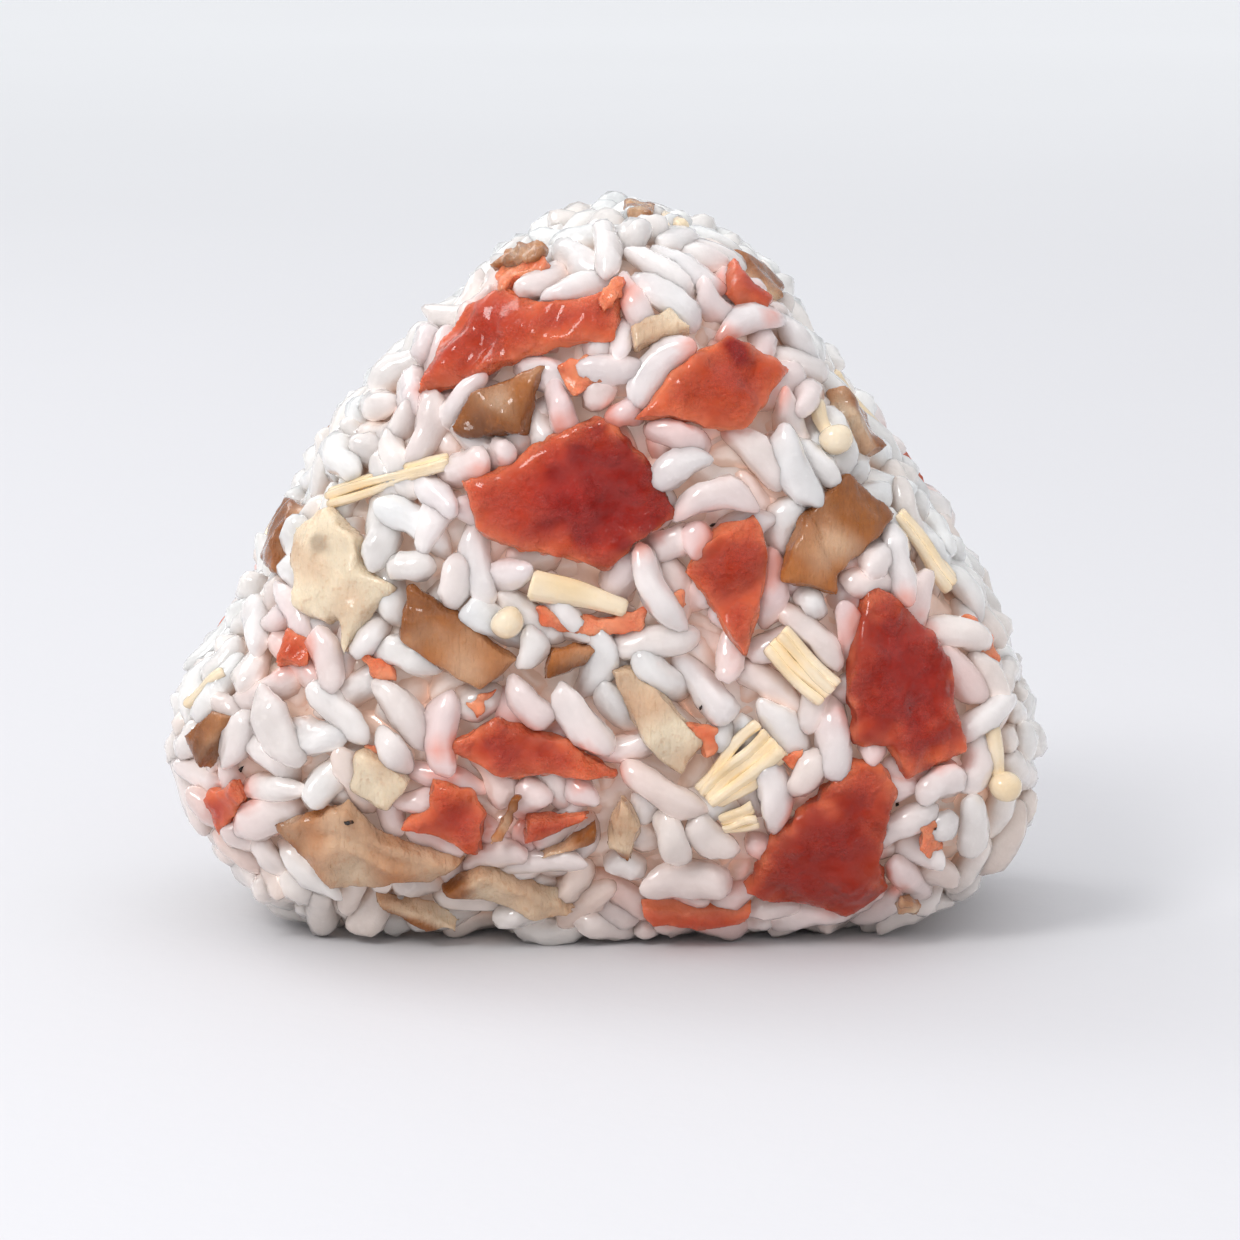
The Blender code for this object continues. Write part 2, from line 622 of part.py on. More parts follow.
def scrap_shapes():
    """Bits too small for an object of their own, sunk a little so that they fuse with the rice."""
    made = [flat_piece(FRONT, corners, STYLES["mushroom"].thickness) for corners in SLIVERS]
    made += [bunch_piece(FRONT, stem) for stem in THIN_STEMS]
    made += [cap_ball(FRONT, stem) for stem in THIN_STEMS if stem.cap]
    for shape in made:
        middle = sum((vert.co for vert in shape.verts), Vector()) / len(shape.verts)
        inwards = -Vector(outward(np.array([middle]))[0])
        shape.transform(Matrix.Translation(inwards * SMALL_SINK))
    return made


def build_rice(pieces):
    rice = add_object("rice", core_shape(), bpy.context.scene.collection)
    fuse(rice, [*grain_shapes(pieces), *scrap_shapes()], "MANIFOLD")  # EXACT leaves edges open here
    keep_largest_body(rice)
    rice.data.materials.append(finish("rice", STYLES["rice"]))
    return rice


def main():
    clear_scene()
    build_rice(build_pieces())


main()
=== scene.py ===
"""Looks of the onigiri: cooked grains packed round a core, with torn plum, sliced mushroom and enoki.

Metres, +Z up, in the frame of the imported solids. The broad front faces -Y. Places on the ball are
given in millimetres to the right and upwards, as seen from one of its four sides.
"""

import json
import math
from collections import namedtuple

import bmesh
import bpy
import numpy as np
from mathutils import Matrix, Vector
from mathutils.bvhtree import BVHTree
from mathutils.kdtree import KDTree

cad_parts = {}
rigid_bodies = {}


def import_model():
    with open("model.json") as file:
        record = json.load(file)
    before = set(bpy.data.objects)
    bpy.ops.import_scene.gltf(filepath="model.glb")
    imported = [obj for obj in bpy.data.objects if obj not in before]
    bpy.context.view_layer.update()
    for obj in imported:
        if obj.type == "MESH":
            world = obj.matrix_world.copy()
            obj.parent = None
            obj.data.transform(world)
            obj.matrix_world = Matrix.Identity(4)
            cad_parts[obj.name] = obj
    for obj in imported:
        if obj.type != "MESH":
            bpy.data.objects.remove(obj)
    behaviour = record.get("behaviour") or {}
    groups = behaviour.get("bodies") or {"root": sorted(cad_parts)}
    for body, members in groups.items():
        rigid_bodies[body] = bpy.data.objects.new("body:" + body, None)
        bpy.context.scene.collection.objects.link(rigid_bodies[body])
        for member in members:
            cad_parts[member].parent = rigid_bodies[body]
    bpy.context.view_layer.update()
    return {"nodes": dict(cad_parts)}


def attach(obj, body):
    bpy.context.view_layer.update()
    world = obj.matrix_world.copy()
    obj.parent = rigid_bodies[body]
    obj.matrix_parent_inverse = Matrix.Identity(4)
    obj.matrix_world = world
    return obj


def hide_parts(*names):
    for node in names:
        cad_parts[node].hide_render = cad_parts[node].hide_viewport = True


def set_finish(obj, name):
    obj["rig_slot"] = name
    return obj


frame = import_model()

bl_info = {
    "name": "Onigiri",
    "version": (1, 0, 0),
    "blender": (4, 5, 0),
    "location": "3D View > Sidebar > Onigiri",
    "description": "Dresses a rice ball: packed grains, plum, mushroom, enoki and a pale studio",
    "category": "Object",
}

BODY = "root"
MM = 0.001
TURN = 2 * math.pi

# Form of the ball, as the solids have it
TRIANGLE = ((-0.0205, 0.0182), (0.0214, 0.0184), (0.0022, 0.0465))  # corners of the inner triangle, (x, z)
ROUNDING = 0.0190
FACE_ROUNDING = 0.0140
PLATE_HALF = 0.0090
HAND_WAVES = 0.0007
CENTRE = (0.0, 0.0, 0.029)
Press = namedtuple("Press", "place width height")
PRESSES = (
    Press((-25, 51), 7, 1.5),
    Press((-36, 29), 4.5, -2.0),
    Press((-38, 5), 7, -0.8),
    Press((39, 25), 5, -1.2),
    Press((38, 7), 6, 0.7),
    Press((33, 41), 5, 0.7),
)
SIGHT = 0.060  # lines of sight begin this far out
SIGHT_STEPS = 181
HALVINGS = 30
SURVEY_STEP = 0.00002

# Strewing the grains
OUTER_THROWS, UNDER_THROWS = 9000, 7000
CHOSEN_ROOM = 0.8  # strewn grains keep this share of the spacing from the chosen ones
CHOSEN_DEPTH = 0.0009  # a chosen grain with no lift has its middle this deep
OUTER_DEPTH, UNDER_START = 0.0016, 0.0035  # where the middles start
DEPTH_JITTER = (-0.0003, 0.0004)
TILT = 0.45  # how far grains tip out of the surface
LENGTH_SPREAD, LENGTH_LIMITS = 0.06, (0.86, 1.16)
WIDTH_SPREAD, WIDTH_LIMITS = 0.08, (0.82, 1.16)
BROKEN_SHARE, BROKEN_LENGTHS = 0.28, (0.5, 0.8)
WHOLE_LENGTH = 0.82  # a grain under this share of the full length counts as broken
SEED = 11

# Packing the grains
BEADS = np.array([-1.0, 0.0, 1.0])  # a grain is packed as three balls in a row
BEAD_SIZE = 0.46  # a ball's radius, as a share of the grain's width
BEAD_INSET = 0.95  # the end balls' centres lie this many radii inside the tips
PACKING_STEPS = 130
PACKING_REFRESH = 5  # steps between two searches for neighbours
NEIGHBOUR_MARGIN = 0.0006
PUSH = 0.30  # share of an overlap that one step undoes
SKIN_PUSH, DEPTH_PUSH, TOPPING_PUSH = 0.7, 0.3, 0.8  # the same for the outside, the depth and the toppings
OUTER_STAND = (0.25, 1.05)  # the balls of an outer grain stay this many radii under the outside
UNDER_DEPTH = 0.0031  # the grains underneath have their centres at least this deep
OUTER_FLOOR, UNDER_FLOOR = 0.0028, 0.0046  # and no centre is much deeper than this
GROUND_STAND = 0.85  # radii above the ground
TOPPING_SINK = 0.00055  # grains press this far into the edge of a topping
TOPPING_SEARCH = 0.002
WORST_SINK = 0.0005  # a grain that stays deeper than this in a topping is left out
LEAST_LENGTH = 0.0001
TINY = 1e-6

# Shape of a grain
BLUNT_START, BLUNT_END, BLUNT_POWER = (2.2, 4.0), (1.9, 3.6), (0.44, 0.6)
CREASE, CREASE_WIDTH = (0, 0.13), 0.35
NOTCH, NOTCH_WIDTH = (0.05, 0.35), 0.8
TAPER = (-0.14, 0.14)
BEND = 0.075
ROLL = 0.6
KNOCKS = ((0.00012, 0.0026), (0.00005, 0.0012))  # depth and length of soft unevenness
GRAIN_GROUND = 0.00005
WHOLE_MESH, BROKEN_MESH, UNDER_MESH = (12, 12), (9, 12), (8, 10)  # rings and sides

# Colour of the grains
CLEAR_SHARE = 0.5  # of the whole outer grains
CLEAR_MILKINESS, MILKY_MILKINESS = 0.45, 0.70
MILK_EACH, MILK_HEART, MILK_CLOUDS = 0.7, 0.25, 0.12  # by grain, towards its middle, and in clouds
MILK_LENGTH = 0.003
WHOLE_GRAIN_JUICE = 0.65  # juice spreads over a grain as a whole to this share
BROTH_EACH = 0.35
# Depths of the painted glow, an emission on the rice underneath that stands in for light passed on into the
# gaps
GLOW_DEPTHS = (-0.0002, 0.0024)  # none at the first, full at the second

# Juice on the rice, and broth with painted warm shade deep between the grains and low on the ball: how strong
# they are, and how far from the plum the juice reaches
JUICE_NEAR, JUICE_REACH = 0.66, 0.0024
JUICE_FAR, JUICE_FAR_REACH = 0.07, 0.008
SMEAR = 0.55
JUICE_MEAN, JUICE_CLOUDS, JUICE_LENGTH = 0.75, 0.35, 0.006
SMEAR_FROM = (0.40, 0.75)  # juice this strong turns to a smear
# Painted warm shade: how strong it is deep between the grains and low on the ball, and between which depths
# it grows
BROTH_DEEP, BROTH_LOW = 0.55, 0.14
BROTH_DEPTHS = (0.0008, 0.0034)
BROTH_TOP = 0.045  # the painted warm shade low on the ball lies below this height

# The heart of the ball
CORE_DEPTH = 0.0029
CORE_FINENESS = 6
CORE_BUMPS = ((0.00034, 0.0034), (0.00014, 0.0017))
CORE_GROUND = 0.0006

# Where the pieces are seen from: azimuth and elevation
FRONT, BACK, RIGHT, LEFT = (0, 10), (180, 10), (90, 12), (270, 12)

# Grains that stand out to the eye: place of the middle, turn, length and width in millimetres, and
# how far the middle lies above the outside
Chosen = namedtuple("Chosen", "place turn length width lift")
CHOSEN_GRAINS = (
    Chosen((5.2, 29.6), -62, 8.8, 3.3, 0.9),
    Chosen((-1.6, 18.1), -55, 8.2, 3.2, 0.8),
    Chosen((-6.3, 19.6), -52, 5.6, 3.2, 0.5),
    Chosen((-24.5, 23.4), -76, 6.4, 3.0, 0.2),
    Chosen((-23.3, 18.7), -45, 7.6, 3.0, 0.0),
    Chosen((-17.5, 18.5), -55, 7.8, 3.2, 0.0),
    Chosen((-18.4, 15.3), -60, 5.0, 2.9, 0.5),
    Chosen((-17.2, 23.6), -15, 6.6, 2.8, -0.6),
    Chosen((17.9, 40.5), -62, 8.6, 3.4, 0.2),
    Chosen((7.3, 40.4), 24, 5.8, 3.2, -0.1),
    Chosen((10.4, 37.4), 6, 8.0, 3.0, 0.1),
    Chosen((8.7, 33.8), -70, 3.8, 2.8, 0.0),
    Chosen((7.2, 43.0), -20, 6.4, 3.0, -0.9),
    Chosen((5.0, 24.9), 8, 8.0, 3.4, -0.4),
    Chosen((5.8, 11.6), -32, 9.0, 3.1, 0.3),
    Chosen((7.7, 2.8), 0, 8.4, 3.9, 0.1),
    Chosen((6.5, 7.0), -76, 6.4, 3.1, 0.0),
    Chosen((9.9, 7.2), -52, 5.6, 3.3, -0.2),
    Chosen((15.6, 10.8), -82, 7.0, 3.4, 0.0),
    Chosen((18.6, 13.2), 62, 5.2, 2.9, 0.3),
    Chosen((31.0, 12.0), 20, 5.4, 3.2, 0.0),
    Chosen((34.2, 8.0), -70, 7.0, 3.2, -0.2),
    Chosen((-12.8, 30.2), 82, 5.4, 2.9, 0.0),
    Chosen((-17.0, 31.8), 0, 4.6, 3.0, 0.1),
    Chosen((-6.0, 24.4), 74, 4.2, 2.8, 0.2),
    Chosen((-33.0, 16.2), 60, 6.0, 3.0, 0.0),
)

# Enoki: ends of the middle line, number of stems, width at both ends in millimetres, and a cap or not
Bunch = namedtuple("Bunch", "start end stems start_width end_width cap")
BUNCHES = {
    FRONT: {
        "enoki_left": Bunch((-25, 38.3), (-13.6, 41.2), 3, 2.2, 1.6, False),
        "enoki_segment": Bunch((-6, 30.3), (2.5, 28), 1, 3.0, 1.7, False),
        "enoki_right": Bunch((15.6, 25.2), (20.6, 20.4), 4, 3.4, 3.4, False),
        "enoki_fan": Bunch((15.5, 16.3), (9.6, 10.8), 5, 5.2, 3.6, False),
        "enoki_short": Bunch((14, 9.3), (11, 8.3), 4, 3.0, 2.0, False),
        "enoki_slope": Bunch((19.8, 46.8), (21, 43.2), 1, 1.5, 1.4, True),
        "enoki_slope_low": Bunch((27.6, 37), (32.5, 30.5), 3, 2.0, 2.6, False),
        "enoki_edge": Bunch((35.9, 17.5), (36.5, 12.2), 1, 1.7, 1.6, True),
    },
    BACK: {
        "enoki_back_right": Bunch((21, 30), (27, 24), 5, 4.6, 3.8, False),
        "enoki_back_low": Bunch((-8, 12), (0, 11), 3, 3.2, 2.6, False),
    },
    RIGHT: {
        "enoki_side_right": Bunch((0, 45), (4.5, 38.5), 3, 3.0, 2.6, False),
    },
    LEFT: {
        "enoki_side_left": Bunch((-9, 31.5), (-4, 26), 3, 2.8, 3.2, False),
    },
}
ENOKI_SCRAPS = (
    Bunch((-37.5, 19.4), (-34, 22.4), 1, 1.2, 1.2, False),
    Bunch((5.4, 64.6), (7.6, 62.6), 1, 1.2, 1.4, False),
    Bunch((-8.8, 27.6), (-8.2, 26.9), 1, 1.6, 1.6, True),
)
STEM_HALF_HEIGHT = 0.0010
STEM_BED = 0.00143  # the underside of a stem lies this deep under the outside
STEM_TIP = 0.00006  # the ends bulge out this far
STEM_ROUNDING, STEM_END_WIDTH = 0.0003, 0.80  # how long the rounding is, and the width at the very end
STEM_SIDES = 12
STEM_RINGS = 30
STEM_CROWDING = 1.22  # stems side by side overlap a little
STEM_STEP = 0.00035  # every second stem lies this much higher
SCRAP_LIFT = 0.0007
STEM_WANDER, STEM_WAVE = 0.05, 0.00008  # sideways as a share of the width, and up and down
STEM_RIDGES = ((3, 0.05), (5, 0.04))  # ridges round the stem: number and height
STEM_SWELLS = (7, 0.05)
STEM_THREADS = 4
CAP_RADIUS = 0.00155
CAP_RINGS, CAP_SIDES = 14, 24
CAP_FLATNESS = 0.72  # of the side that the stem comes out of
CAP_FULLNESS = 0.85  # under 1 is fuller than a ball


def unit(vectors):
    """Vectors of length 1 in the same directions."""
    return vectors / np.linalg.norm(vectors, axis=-1, keepdims=True)


def distance_to_triangle(flat):
    """Distance of (x, z) points from the filled inner triangle, 0 inside it."""
    corners = np.array(TRIANGLE)
    nearest = np.full(len(flat), np.inf)
    inside = np.ones(len(flat), bool)
    for first, second in zip(corners, np.roll(corners, -1, axis=0)):
        along = second - first
        offset = flat - first
        share = np.clip(offset @ along / (along @ along), 0, 1)
        nearest = np.minimum(nearest, np.linalg.norm(offset - share[:, None] * along, axis=1))
        inside &= along[0] * offset[:, 1] - along[1] * offset[:, 0] >= 0
    return np.where(inside, 0.0, nearest)


def hand_waves(points):
    """Smooth unevenness between -1 and 1, a few centimetres from crest to crest."""
    x, y, z = points.T / MM
    return (
        np.sin(x / 6.1 + z / 9.3 + 0.6)
        + np.sin(z / 5.2 - y / 8.1 + 2.1)
        + np.sin(y / 6.6 + x / 10.4 + 4.0)
    ) / 3


def pressed(points):
    """How far hands have pressed the outside outwards or inwards at these points."""
    height = np.zeros(len(points))
    for press in PRESSES:
        away = np.linalg.norm(points[:, [0, 2]] / MM - np.array(press.place), axis=1)
        height += press.height * np.exp(-((away / press.width) ** 2) / 2)
    return height * MM


def outside(points):
    """Signed measure of the whole ball: below 0 inside, 0 on the outside."""
    forwards = np.maximum(np.abs(points[:, 1]) - PLATE_HALF, 0) * ROUNDING / FACE_ROUNDING
    reach = np.hypot(distance_to_triangle(points[:, [0, 2]]), forwards)
    return reach - ROUNDING - HAND_WAVES * hand_waves(points) - pressed(points)


def surveyed(points):
    """How far points lie beyond the outside, in metres, and the unit normals there."""
    step = SURVEY_STEP
    slopes = np.stack(
        [outside(points + step * axis) - outside(points - step * axis) for axis in np.eye(3)], axis=1
    )
    steepness = np.linalg.norm(slopes, axis=1)
    return outside(points) / (steepness / (2 * step)), slopes / steepness[:, None]


def meet_outside(starts, ends):
    """Where the lines from starts, outside the ball, to ends, inside it, cross the outside."""
    low, high = np.zeros(len(starts)), np.ones(len(starts))
    for _ in range(HALVINGS):
        middle = (low + high) / 2
        out = outside(starts + middle[:, None] * (ends - starts)) > 0
        low, high = np.where(out, middle, low), np.where(out, high, middle)
    return starts + high[:, None] * (ends - starts)


def on_outside(directions):
    """Points of the outside in these directions from the centre."""
    centre = np.array(CENTRE)
    return meet_outside(centre + SIGHT * unit(directions), np.tile(centre, (len(directions), 1)))


def sight_frame(side):
    """Unit vectors to the right, upwards and towards the eye, for something seen from a side."""
    azimuth, elevation = (math.radians(angle) for angle in side)
    right = np.array([math.cos(azimuth), math.sin(azimuth), 0])
    level = np.array([math.sin(azimuth), -math.cos(azimuth), 0])
    back = level * math.cos(elevation) + np.array([0, 0, math.sin(elevation)])
    return right, np.cross(back, right), back


def lay_on(side, places):
    """Carries places in metres, as seen from a side, along the line of sight onto the outside."""
    right, up, back = sight_frame(side)
    flat = np.asarray(places, float)
    plane = flat[:, :1] * right + flat[:, 1:] * up
    steps = np.linspace(SIGHT, -SIGHT / 2, SIGHT_STEPS)
    depth = np.stack([outside(plane + step * back) for step in steps])
    first = np.argmax(depth < 0, axis=0)
    misses = ~(depth < 0).any(axis=0)
    first[misses] = np.argmin(depth[:, misses], axis=0)
    ends = plane + steps[first][:, None] * back
    met = meet_outside(ends + (steps[0] - steps[1]) * back, ends)
    if misses.any():
        met[misses] = on_outside(ends[misses] - np.array(CENTRE))
    return met


def ripples(points, length, seed, waves=8):
    """Smooth unevenness of about unit height, its crests about this length apart."""
    draw = np.random.default_rng(seed)
    height = np.zeros(len(points))
    for _ in range(waves):
        turn = draw.normal(size=3)
        turn *= draw.uniform(0.7, 1.4) * TURN / (length * np.linalg.norm(turn))
        height += np.sin(points @ turn + draw.uniform(0, TURN))
    return height / math.sqrt(waves / 2)


def keep_above(points, height):
    """Lifts the points that are lower than this height to it."""
    points[:, 2] = np.maximum(points[:, 2], height)


def smooth_step(values, low, high):
    """0 up to low, 1 from high on, and a smooth rise between."""
    share = np.clip((values - low) / (high - low), 0, 1)
    return share * share * (3 - 2 * share)


# Shader nodes


def linear(code):
    """A colour code such as A0522D as linear red, green and blue."""
    parts = [int(code[i : i + 2], 16) / 255 for i in (0, 2, 4)]
    return tuple(p / 12.92 if p <= 0.04045 else ((p + 0.055) / 1.055) ** 2.4 for p in parts)


def add_node(tree, kind, sockets=None, **settings):
    """Adds a node. A socket takes a plain value, a colour or the output that it is linked to."""
    made = tree.nodes.new(kind)
    for name, value in settings.items():
        setattr(made, name, value)
    for name, value in (sockets or {}).items():
        socket = made.inputs[name]
        if isinstance(value, bpy.types.NodeSocket):
            tree.links.new(value, socket)
        elif socket.type == "RGBA":
            socket.default_value = (*value, 1.0)
        else:
            socket.default_value = value
    return made


def mixed(tree, factor, first, second, blend="MIX"):
    """Output of a colour mix."""
    sockets = {0: factor, 6: first, 7: second}
    return add_node(tree, "ShaderNodeMix", sockets, data_type="RGBA", blend_type=blend).outputs[2]


def ranged(tree, value, low, high, to_low=0.0, to_high=1.0):
    """Output of a clamped, smooth change of range."""
    sockets = {"Value": value, "From Min": low, "From Max": high, "To Min": to_low, "To Max": to_high}
    made = add_node(tree, "ShaderNodeMapRange", sockets, interpolation_type="SMOOTHSTEP")
    return made.outputs["Result"]


def reckoned(tree, operation, first, second):
    """Output of an operation on two values."""
    return add_node(tree, "ShaderNodeMath", {0: first, 1: second}, operation=operation).outputs[0]


def cloud(tree, place, scale, detail=2.0, roughness=0.5):
    """Output of a noise texture, about 0 to 1."""
    sockets = {"Vector": place, "Scale": scale, "Detail": detail, "Roughness": roughness}
    return add_node(tree, "ShaderNodeTexNoise", sockets).outputs["Fac"]


def new_group(name, inputs, outputs):
    """A new node group's tree, the sockets that it is given, and those that it results in.

    Inputs are given as name: (kind, default), and outputs as name: kind.
    """
    tree = bpy.data.node_groups.new(name, "ShaderNodeTree")
    for label, (kind, default) in inputs.items():
        socket = tree.interface.new_socket(label, in_out="INPUT", socket_type=f"NodeSocket{kind}")
        if default is not None:
            socket.default_value = default
    for label, kind in outputs.items():
        tree.interface.new_socket(label, in_out="OUTPUT", socket_type=f"NodeSocket{kind}")
    given, result = tree.nodes.new("NodeGroupInput"), tree.nodes.new("NodeGroupOutput")
    return tree, given.outputs, result.inputs


def build_mottle():
    """Cloudy change of brightness, and spots towards a second colour."""
    inputs = {
        "Place": ("Vector", None),
        "Color": ("Color", (0.8, 0.8, 0.8, 1)),
        "Spot Color": ("Color", (0.5, 0.5, 0.5, 1)),
        "Cloud Scale": ("Float", 300.0),
        "Spot Scale": ("Float", 900.0),
        "Cloud Amount": ("Float", 0.15),
        "Spot Amount": ("Float", 0.3),
    }
    tree, given, result = new_group("mottle", inputs, {"Color": "Color"})
    clouds = cloud(tree, given["Place"], given["Cloud Scale"])
    darker = mixed(tree, given["Cloud Amount"], given["Color"], (0.25, 0.22, 0.2), "MULTIPLY")
    shaded = mixed(tree, ranged(tree, clouds, 0.35, 0.65), darker, given["Color"])
    spots = ranged(tree, cloud(tree, given["Place"], given["Spot Scale"]), 0.56, 0.72)
    amount = reckoned(tree, "MULTIPLY", spots, given["Spot Amount"])
    tree.links.new(mixed(tree, amount, shaded, given["Spot Color"]), result["Color"])


def build_wet_film():
    """A film of moisture in patches: where it lies, the surface is smoother and shines more."""
    inputs = {
        "Place": ("Vector", None),
        "Patch Scale": ("Float", 350.0),
        "Wet Roughness": ("Float", 0.15),
        "Dry Roughness": ("Float", 0.4),
        "Shine": ("Float", 0.6),
    }
    tree, given, result = new_group("wet film", inputs, {"Roughness": "Float", "Coat": "Float"})
    patches = cloud(tree, given["Place"], given["Patch Scale"], 3.0, 0.6)
    film = ranged(tree, patches, 0.30, 0.55, 0.25, 1.0)
    sockets = {"Value": film, "To Min": given["Dry Roughness"], "To Max": given["Wet Roughness"]}
    rough = add_node(tree, "ShaderNodeMapRange", sockets).outputs["Result"]
    tree.links.new(rough, result["Roughness"])
    tree.links.new(reckoned(tree, "MULTIPLY", film, given["Shine"]), result["Coat"])


def build_fine_relief():
    """Pores, soft dimples and fibres, as one height."""
    inputs = {
        "Place": ("Vector", None),
        "Pore Scale": ("Float", 4000.0),
        "Pores": ("Float", 0.35),
        "Dimple Scale": ("Float", 1200.0),
        "Fibres": ("Float", 0.0),
        "Stretch": ("Vector", (1.0, 1.0, 1.0)),
    }
    tree, given, result = new_group("fine relief", inputs, {"Height": "Float"})
    pores = cloud(tree, given["Place"], given["Pore Scale"])
    dimples = cloud(tree, given["Place"], given["Dimple Scale"])
    sockets = {"Vector": given["Place"], "Scale": given["Stretch"]}
    stretched = add_node(tree, "ShaderNodeMapping", sockets).outputs["Vector"]
    fibres = cloud(tree, stretched, given["Dimple Scale"], 3.0, 0.6)
    soft = reckoned(tree, "ADD", reckoned(tree, "MULTIPLY", pores, given["Pores"]), dimples)
    height = reckoned(tree, "ADD", soft, reckoned(tree, "MULTIPLY", fibres, given["Fibres"]))
    tree.links.new(height, result["Height"])


def build_stain():
    """Juice that has soaked in: pink where it is thin, orange where it was smeared on."""
    inputs = {
        "Color": ("Color", (0.8, 0.8, 0.8, 1)),
        "Juice": ("Float", 0.0),
        "Smear": ("Float", 0.0),
        "Juice Color": ("Color", (0.7, 0.3, 0.3, 1)),
        "Smear Color": ("Color", (0.8, 0.2, 0.05, 1)),
    }
    tree, given, result = new_group("stain", inputs, {"Color": "Color"})
    pink = mixed(tree, given["Juice"], given["Color"], given["Juice Color"])
    tree.links.new(mixed(tree, given["Smear"], pink, given["Smear Color"]), result["Color"])


GROUPS = {
    "mottle": build_mottle,
    "wet film": build_wet_film,
    "fine relief": build_fine_relief,
    "stain": build_stain,
}


def use_group(tree, name, sockets):
    """A shared node group placed in a material, built the first time that it is asked for."""
    if name not in bpy.data.node_groups:
        GROUPS[name]()
    return add_node(tree, "ShaderNodeGroup", sockets, node_tree=bpy.data.node_groups[name])


def new_material(name, constants):
    """A material, its node tree, its shader and places on the object, with the shader's fixed values."""
    made = bpy.data.materials.new(name)
    made.use_nodes = True
    tree = made.node_tree
    shader = tree.nodes["Principled BSDF"]
    shader.subsurface_method = "BURLEY"
    for label, value in constants.items():
        shader.inputs[label].default_value = value
    place = add_node(tree, "ShaderNodeTexCoord").outputs["Object"]
    return made, tree, shader, place


def read_mask(tree, name):
    """Output of a mask kept on the mesh."""
    return add_node(tree, "ShaderNodeAttribute", attribute_name=name).outputs["Fac"]


def mottled(tree, place, color, spot_color, clouds, spots):
    """Output of a colour with clouds and spots. Each of these is a scale and an amount."""
    sockets = {
        "Place": place,
        "Color": color,
        "Spot Color": spot_color,
        "Cloud Scale": clouds[0],
        "Cloud Amount": clouds[1],
        "Spot Scale": spots[0],
        "Spot Amount": spots[1],
    }
    return use_group(tree, "mottle", sockets).outputs["Color"]


FILM_SOCKETS = ("Patch Scale", "Wet Roughness", "Dry Roughness", "Shine")


def finish_surface(tree, shader, place, color, film, relief, depth, ridges=None):
    """Gives the shader its colour, its wet film and its fine relief, whose depth is in metres.

    The film is given in the order of its sockets. Ridges are a height that is added to the relief.
    """
    wet = use_group(tree, "wet film", {"Place": place, **dict(zip(FILM_SOCKETS, film))})
    height = use_group(tree, "fine relief", {"Place": place, **relief}).outputs["Height"]
    if ridges is not None:
        height = reckoned(tree, "ADD", ridges, height)
    bump = add_node(tree, "ShaderNodeBump", {"Height": height, "Strength": 1.0, "Distance": depth})
    links = {
        "Base Color": color,
        "Roughness": wet.outputs["Roughness"],
        "Coat Weight": wet.outputs["Coat"],
        "Normal": bump.outputs["Normal"],
    }
    for label, output in links.items():
        tree.links.new(output, shader.inputs[label])


def rice_material(name, settings, milkiness, glowing=False):
    """Cooked rice: see-through rim, milky heart, a thin wet film, and juice where plum is near.

    The rice underneath can get a painted glow: a faint emission, stronger where it lies deep, that stands in
    for light passed on through the grains.
    """
    constants = {
        "Subsurface Weight": 1.0,
        "Subsurface Radius": (1.0, 0.95, 0.91),
        "Subsurface Scale": 0.0016,
        "IOR": 1.40,
        "Coat Roughness": 0.05,
        "Coat IOR": 1.60,
    }
    made, tree, shader, place = new_material(name, constants)
    milk = ranged(tree, read_mask(tree, "milk"), 0.0, 1.0, milkiness - 0.5, milkiness + 0.5)
    plain = mixed(tree, milk, settings.clear_color, settings.milky_color)
    body = mottled(tree, place, plain, settings.milky_color, (420.0, 0.05), (1100.0, 0.35))
    sockets = {
        # Broth: a tint that differs by grain, and painted warm shade deep down and low on the ball
        "Color": mixed(tree, read_mask(tree, "broth"), body, settings.broth_color),
        "Juice": read_mask(tree, "juice"),
        "Smear": read_mask(tree, "smear"),
        "Juice Color": settings.juice_color,
        "Smear Color": settings.smear_color,
    }
    stained = use_group(tree, "stain", sockets).outputs["Color"]
    # Painted glow: an emission on the deep rice in place of light passed on into the gaps
    if glowing:
        shader.inputs["Emission Strength"].default_value = 1.0
        glow = mixed(tree, read_mask(tree, "deep"), (0.0, 0.0, 0.0), settings.glow_color)
        tree.links.new(glow, shader.inputs["Emission Color"])
    relief = {"Pore Scale": 3000.0, "Dimple Scale": 1100.0}
    finish_surface(tree, shader, place, stained, (300.0, 0.14, 0.30, 1.0), relief, 0.00007)
    return made


def plum_material(settings):
    """Pickled plum flesh: dark where thick, orange where it thins out, and very wet."""
    constants = {
        "Subsurface Weight": 0.9,
        "Subsurface Radius": (1.0, 0.30, 0.16),
        "Subsurface Scale": 0.0010,
        "IOR": 1.15,
        "Coat Roughness": 0.05,
        "Coat IOR": 1.38,
    }
    made, tree, shader, place = new_material("plum", constants)
    color = settings.plum_color
    for mask, shade in {
        "warmth": settings.plum_warm_color,
        "rim": settings.plum_edge_color,
        "thin": settings.plum_thin_color,
        "dark": settings.plum_dark_color,
    }.items():
        color = mixed(tree, read_mask(tree, mask), color, shade)
    body = mottled(tree, place, color, settings.plum_dark_color, (260.0, 0.10), (700.0, 0.10))
    relief = {
        "Pore Scale": 2200.0,
        "Pores": ranged(tree, cloud(tree, place, 260.0), 0.42, 0.56, 0.3, 2.2),
        "Dimple Scale": 900.0,
        "Fibres": 0.5,
        "Stretch": (1.0, 1.0, 0.35),
    }
    finish_surface(tree, shader, place, body, (520.0, 0.12, 0.32, 1.0), relief, 0.00028)
    return made


